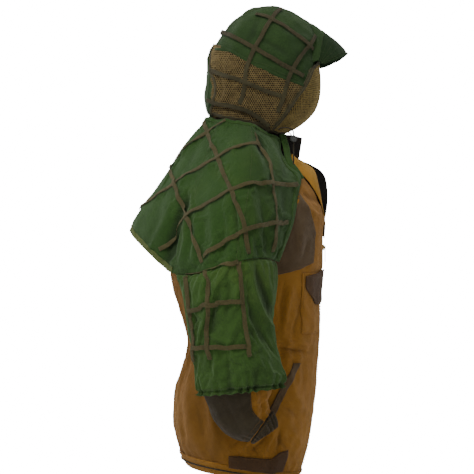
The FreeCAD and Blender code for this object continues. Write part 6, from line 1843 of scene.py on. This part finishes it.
# ------------------------------------------------------------------ smock sleeves and cuffs
SL = np.array([(-224, 20, 572, 38, 56, 0), (-243, 22, 520, 41, 60, 0), (-259, 24, 460, 46, 66, 0), (-266, 26, 400, 49, 70, 0),
               (-268, 24, 340, 51, 72, 0), (-268, 18, 285, 50, 72, 0), (-264, 9, 235, 48, 70, 2), (-256, 1, 191, 46, 68, 8),
               (-250, -7, 154, 44, 59, 24), (-246, -23, 131, 41, 49, 43), (-243, -44, 119, 36, 38, 55)], float)
CUFF = np.array([(-242.8, -46, 117.5, 36, 38, 55), (-241.5, -49.5, 112, 34, 33, 48), (-240.5, -53, 106.5, 32.5, 29.5, 41), (-240, -55.5, 101.5, 32.5, 27, 34)], float)
ARM_FOLDS = [
    ([(214, 402), (220, 416), (228, 430)], 3.4, 2.6),
    ([(226, 400), (232, 416), (240, 432)], 3.4, -2.4),
    ([(238, 398), (243, 414), (246, 430)], 3.2, 2.0),
    ([(255, 392), (256, 404), (256, 418)], 2.0, 3.0),
    ([(260, 394), (262, 406), (262, 417)], 1.8, -3.0),
    ([(266, 392), (265, 402), (267, 412)], 1.8, 2.8),
]


def ring_at(rings, s, th):
    g = cat(rings, s)
    t, f = np.radians(th), np.radians(g[..., 5])
    return np.stack([g[..., 0] - g[..., 3] * np.sin(t), g[..., 1] - g[..., 4] * np.cos(t) * np.cos(f),
                     g[..., 2] + g[..., 4] * np.cos(t) * np.sin(f)], -1)


def arm_sheet(rings, smax, ns, nt, disp, lift, sgn):
    s, th = np.meshgrid(np.linspace(0, smax, ns), np.linspace(0, 360, nt + 1)[:-1], indexing="ij")
    P = ring_at(rings, s, th)
    cen = cat(rings, s)[..., :3]
    N = normals_of(P, True)
    N = N * np.sign((N * (P - cen)).sum(-1).mean())
    P = P + N * (disp(s, th, P) + lift)[..., None]
    N = normals_of(P, True)
    N = N * np.sign((N * (P - cen)).sum(-1).mean())
    if sgn > 0:
        P, N = P * np.array([-1, 1, 1]), N * np.array([-1, 1, 1])
    return Sheet(P, N, (0, smax), (0, 360), wrap=True)


for sgn, nm in ((-1, "right"), (1, "left")):
    n1, n2 = Noise(81 + sgn), Noise(83 + sgn, lo=0.8, hi=1.8)

    def arm_disp(s, th, P):
        U, W = to_px(P)
        a = np.radians(th)
        d = creases(U, W, ARM_FOLDS) * smooth(-0.2, 0.3, np.sin(a))
        d = d + 1.2 * n1(np.cos(a) * 60 + np.sin(a) * 20, s * 40, 80.0) + 0.6 * n2(np.sin(a) * 60, s * 40 + np.cos(a) * 30, 34.0)
        d = d + 1.5 * smooth(8.7, 10.0, s) * np.sin(a * 17 + 1.5 * np.sin(a * 3)) * (0.35 + 0.65 * smooth(0.0, 0.5, np.cos(a)))
        return d * (1 - 0.5 * smooth(9.9, 10, s))

    AS = arm_sheet(SL, 10.0, 190, 240, arm_disp, 0.6, sgn)
    AS.P = tuck(AS.P, AS.N, 0.0, gap=4.0, low=205.0)
    ob = grid_mesh("smock_sleeve_mesh_" + nm, AS.P, closed_u=True)
    thicken(ob, 1.3, 0.0)
    put(ob, "suit", MUSTARD, ["smock_sleeve_" + nm])
    S, T = np.meshgrid(np.linspace(5.6, 9.93, 90), np.linspace(69, 208, 110), indexing="ij")
    ob = grid_mesh("forearm_patch_" + nm, AS.pos(S, T) + AS.nor(S, T) * 1.9)
    thicken(ob, 1.2, 0.0)
    put(ob, "suit", ARM_BROWN, ["forearm_patches"])
    S = np.linspace(5.7, 9.9, 60)
    for tv in (71.0, 206.0):
        stitch_line(("suit", THREAD_M, "suit_brown", "brown_cloth"), AS.pos(S, tv + 0 * S) + AS.nor(S, tv + 0 * S) * 2.9, AS.nor(S, tv + 0 * S))
    T = np.linspace(72, 205, 80)
    for sv in (9.55,):
        stitch_line(("suit", THREAD_M, "suit_brown", "brown_cloth"), AS.pos(sv + 0 * T, T) + AS.nor(sv + 0 * T, T) * 2.9, AS.nor(sv + 0 * T, T))

    def cuff_disp(s, th, P):
        a = np.radians(th)
        g = 0.45 + 0.55 * smooth(-0.2, 0.6, np.cos(a))
        return (2.2 * g * np.sin(a * 21 + 1.8 * np.sin(a * 2 + 1)) * np.sin(np.pi * np.clip((s + 0.35) / 3.7, 0, 1)) ** 0.5
                + 1.6 * np.sin(np.pi * np.clip(s / 3.0, 0, 1)))

    CI = np.concatenate([[cat(SL, np.array(9.72))], CUFF[:1] * 0.5 + 0.5 * cat(SL, np.array(10.0)), CUFF])
    CI[:, 3:5] -= 1.6
    ob = grid_mesh("cuff_lining_" + nm, arm_sheet(CI, 4.93, 50, 160, lambda s, th, P: 0 * s, -0.6, sgn).P, closed_u=True)
    thicken(ob, 1.2, 0.0)
    put(ob, "suit", ARM_BROWN)
    CS = arm_sheet(CUFF, 3.0, 44, 300, cuff_disp, 1.9, sgn)
    ob = grid_mesh("cuff_gathered_" + nm, CS.P, closed_u=True)
    thicken(ob, 2.2, 0.0)
    put(ob, "suit", ARM_BROWN, ["cuffs"])
    T = np.linspace(0, 359.9, 200)
    for sv in (0.25, 2.75):
        stitch_line(("suit", THREAD_M, "suit_brown", "brown_cloth"), CS.pos(sv + 0 * T, T) + CS.nor(sv + 0 * T, T) * 1.4, CS.nor(sv + 0 * T, T))

# ------------------------------------------------------------------ cords
for sg, nm in ((1, "right"), (-1, "left")):
    pts = np.array([(-89, -85, 748), (-90, -95, 751), (-90, -107, 750.5), (-90, -115.5, 745.5), (-90, -118, 738), (-90, -118, 715),
                    (-90, -118, 692), (-90, -118, 672)], float) * np.array([sg, 1, 1])
    tube_mesh("throat_drawcord_" + nm, pts, 1.4, "hood", CORD, ["throat_cord"])
    a = np.linspace(0, np.pi, 9)
    kn = np.array([(-90 * sg + 2.0 * math.cos(6 * v), -118 + 2.0 * math.sin(6 * v), 671.5 - 3.2 * k / 8) for k, v in enumerate(a)])
    tube_mesh("throat_knot_" + nm, kn, 1.5, "hood", CORD, step=0.8)
hp = np.linspace(14.0, 346.0, 61)
q = torso(hp, 0 * hp + 13.0)
n = np.stack([q[:, 0], q[:, 1] + 3.0, 0 * hp], -1)
n /= np.linalg.norm(n, axis=-1, keepdims=True)
q = np.concatenate([q[:, :2] + n[:, :2] * 7.2, (13.0 + 0.16 * q[:, 1])[:, None]], 1)
tube_mesh("hem_cord", q, 1.5, "suit", CORD, ["hem_drawcord"], step=2.2)

flush_stitches()

# ------------------------------------------------------------------ CAD pieces whose shape is right keep their place
for n, m in (("front_zip", BRASS), ("zip_slider", BRASS), ("zip_pull", BRASS), ("cord_lock_body_right", PLASTIC), ("cord_lock_body_left", PLASTIC),
             ("cord_lock_plunger_right", PLASTIC), ("cord_lock_plunger_left", PLASTIC), ("cord_lock_spring_right", STEEL),
             ("cord_lock_spring_left", STEEL), ("peak_stiffener", PLASTIC)):
    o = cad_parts[n]
    o.data.materials.clear()
    o.data.materials.append(m)

# ------------------------------------------------------------------ floor, light, camera
low = min(v[2] for v in [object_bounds()[0]])


def stage_mat():
    """Pale floor that reads as clean white to the camera and as a soft reflector to everything else."""
    m = bpy.data.materials.new("studio_floor")
    m.use_nodes = True
    nt = m.node_tree
    bs = nt.nodes["Principled BSDF"]
    bs.inputs["Base Color"].default_value = (0.92, 0.92, 0.92, 1)
    bs.inputs["Roughness"].default_value = 0.95
    bs.inputs["Specular IOR Level"].default_value = 0.0
    em = node(nt, "ShaderNodeEmission", in_Strength=17.0)
    lp = node(nt, "ShaderNodeLightPath")
    mx = node(nt, "ShaderNodeMixShader")
    nt.links.new(lp.outputs["Is Camera Ray"], mx.inputs[0])
    nt.links.new(bs.outputs[0], mx.inputs[1])
    nt.links.new(em.outputs[0], mx.inputs[2])
    nt.links.new(mx.outputs[0], nt.nodes["Material Output"].inputs["Surface"])
    return m


def plane(name, size, z):
    me = bpy.data.meshes.new(name)
    me.from_pydata([(-size, -size, z), (size, -size, z), (size, size, z), (-size, size, z)], [], [(0, 1, 2, 3)])
    ob = bpy.data.objects.new(name, me)
    bpy.context.scene.collection.objects.link(ob)
    me.materials.append(stage_mat())
    ob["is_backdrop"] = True
    return ob


plane("floor", 30.0, low - 0.0006)


def area(name, loc, target, size, energy, colour=(1, 1, 1)):
    d = bpy.data.lights.new(name, "AREA")
    d.shape = "DISK"
    d.size = size
    d.energy = energy
    d.color = colour
    o = bpy.data.objects.new(name, d)
    bpy.context.scene.collection.objects.link(o)
    o.location = loc
    v = Vector(target) - Vector(loc)
    o.rotation_euler = v.to_track_quat("-Z", "Y").to_euler()
    o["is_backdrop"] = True
    return o


area("key", (-2.0, 0.9, 3.2), (0, 0, 0.6), 1.3, 105.0, (1.0, 0.98, 0.95))
area("fill", (-3.4, -1.8, 1.1), (0, 0, 0.5), 2.4, 26.0, (0.96, 0.98, 1.0))
area("kick", (-2.0, 3.0, 2.0), (0, 0, 0.7), 2.0, 26.0)
area("rim", (2.4, 1.6, 2.4), (0, 0, 0.6), 1.6, 30.0)
area("low", (2.0, -2.6, 1.4), (0, 0, 0.5), 2.4, 18.0)
w = bpy.data.worlds.new("studio")
w.use_nodes = True
bg = w.node_tree.nodes["Background"]
bg.inputs[0].default_value = (1, 1, 1, 1)
lp = node(w.node_tree, "ShaderNodeLightPath")
mx = node(w.node_tree, "ShaderNodeMath", operation="MULTIPLY_ADD")
mx.inputs[1].default_value = 17.0
mx.inputs[2].default_value = 0.35
w.node_tree.links.new(lp.outputs["Is Camera Ray"], mx.inputs[0])
w.node_tree.links.new(mx.outputs[0], bg.inputs[1])
bpy.context.scene.world = w

cam = bpy.data.cameras.new("camera")
cam.sensor_width = 36.0
cam.lens = 36.0 * 5.0 / 1.0428
cam.clip_end = 100.0
co = bpy.data.objects.new("camera", cam)
bpy.context.scene.collection.objects.link(co)
co.location = (-5.0, 0.0, 0.5148)
co.rotation_euler = (math.radians(90), 0, math.radians(-90))
# the picture's middle column is 2 columns right of the drafting origin
cam.shift_x = (237.0 - 239.0) / 474.0
bpy.context.scene.camera = co
co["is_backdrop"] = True
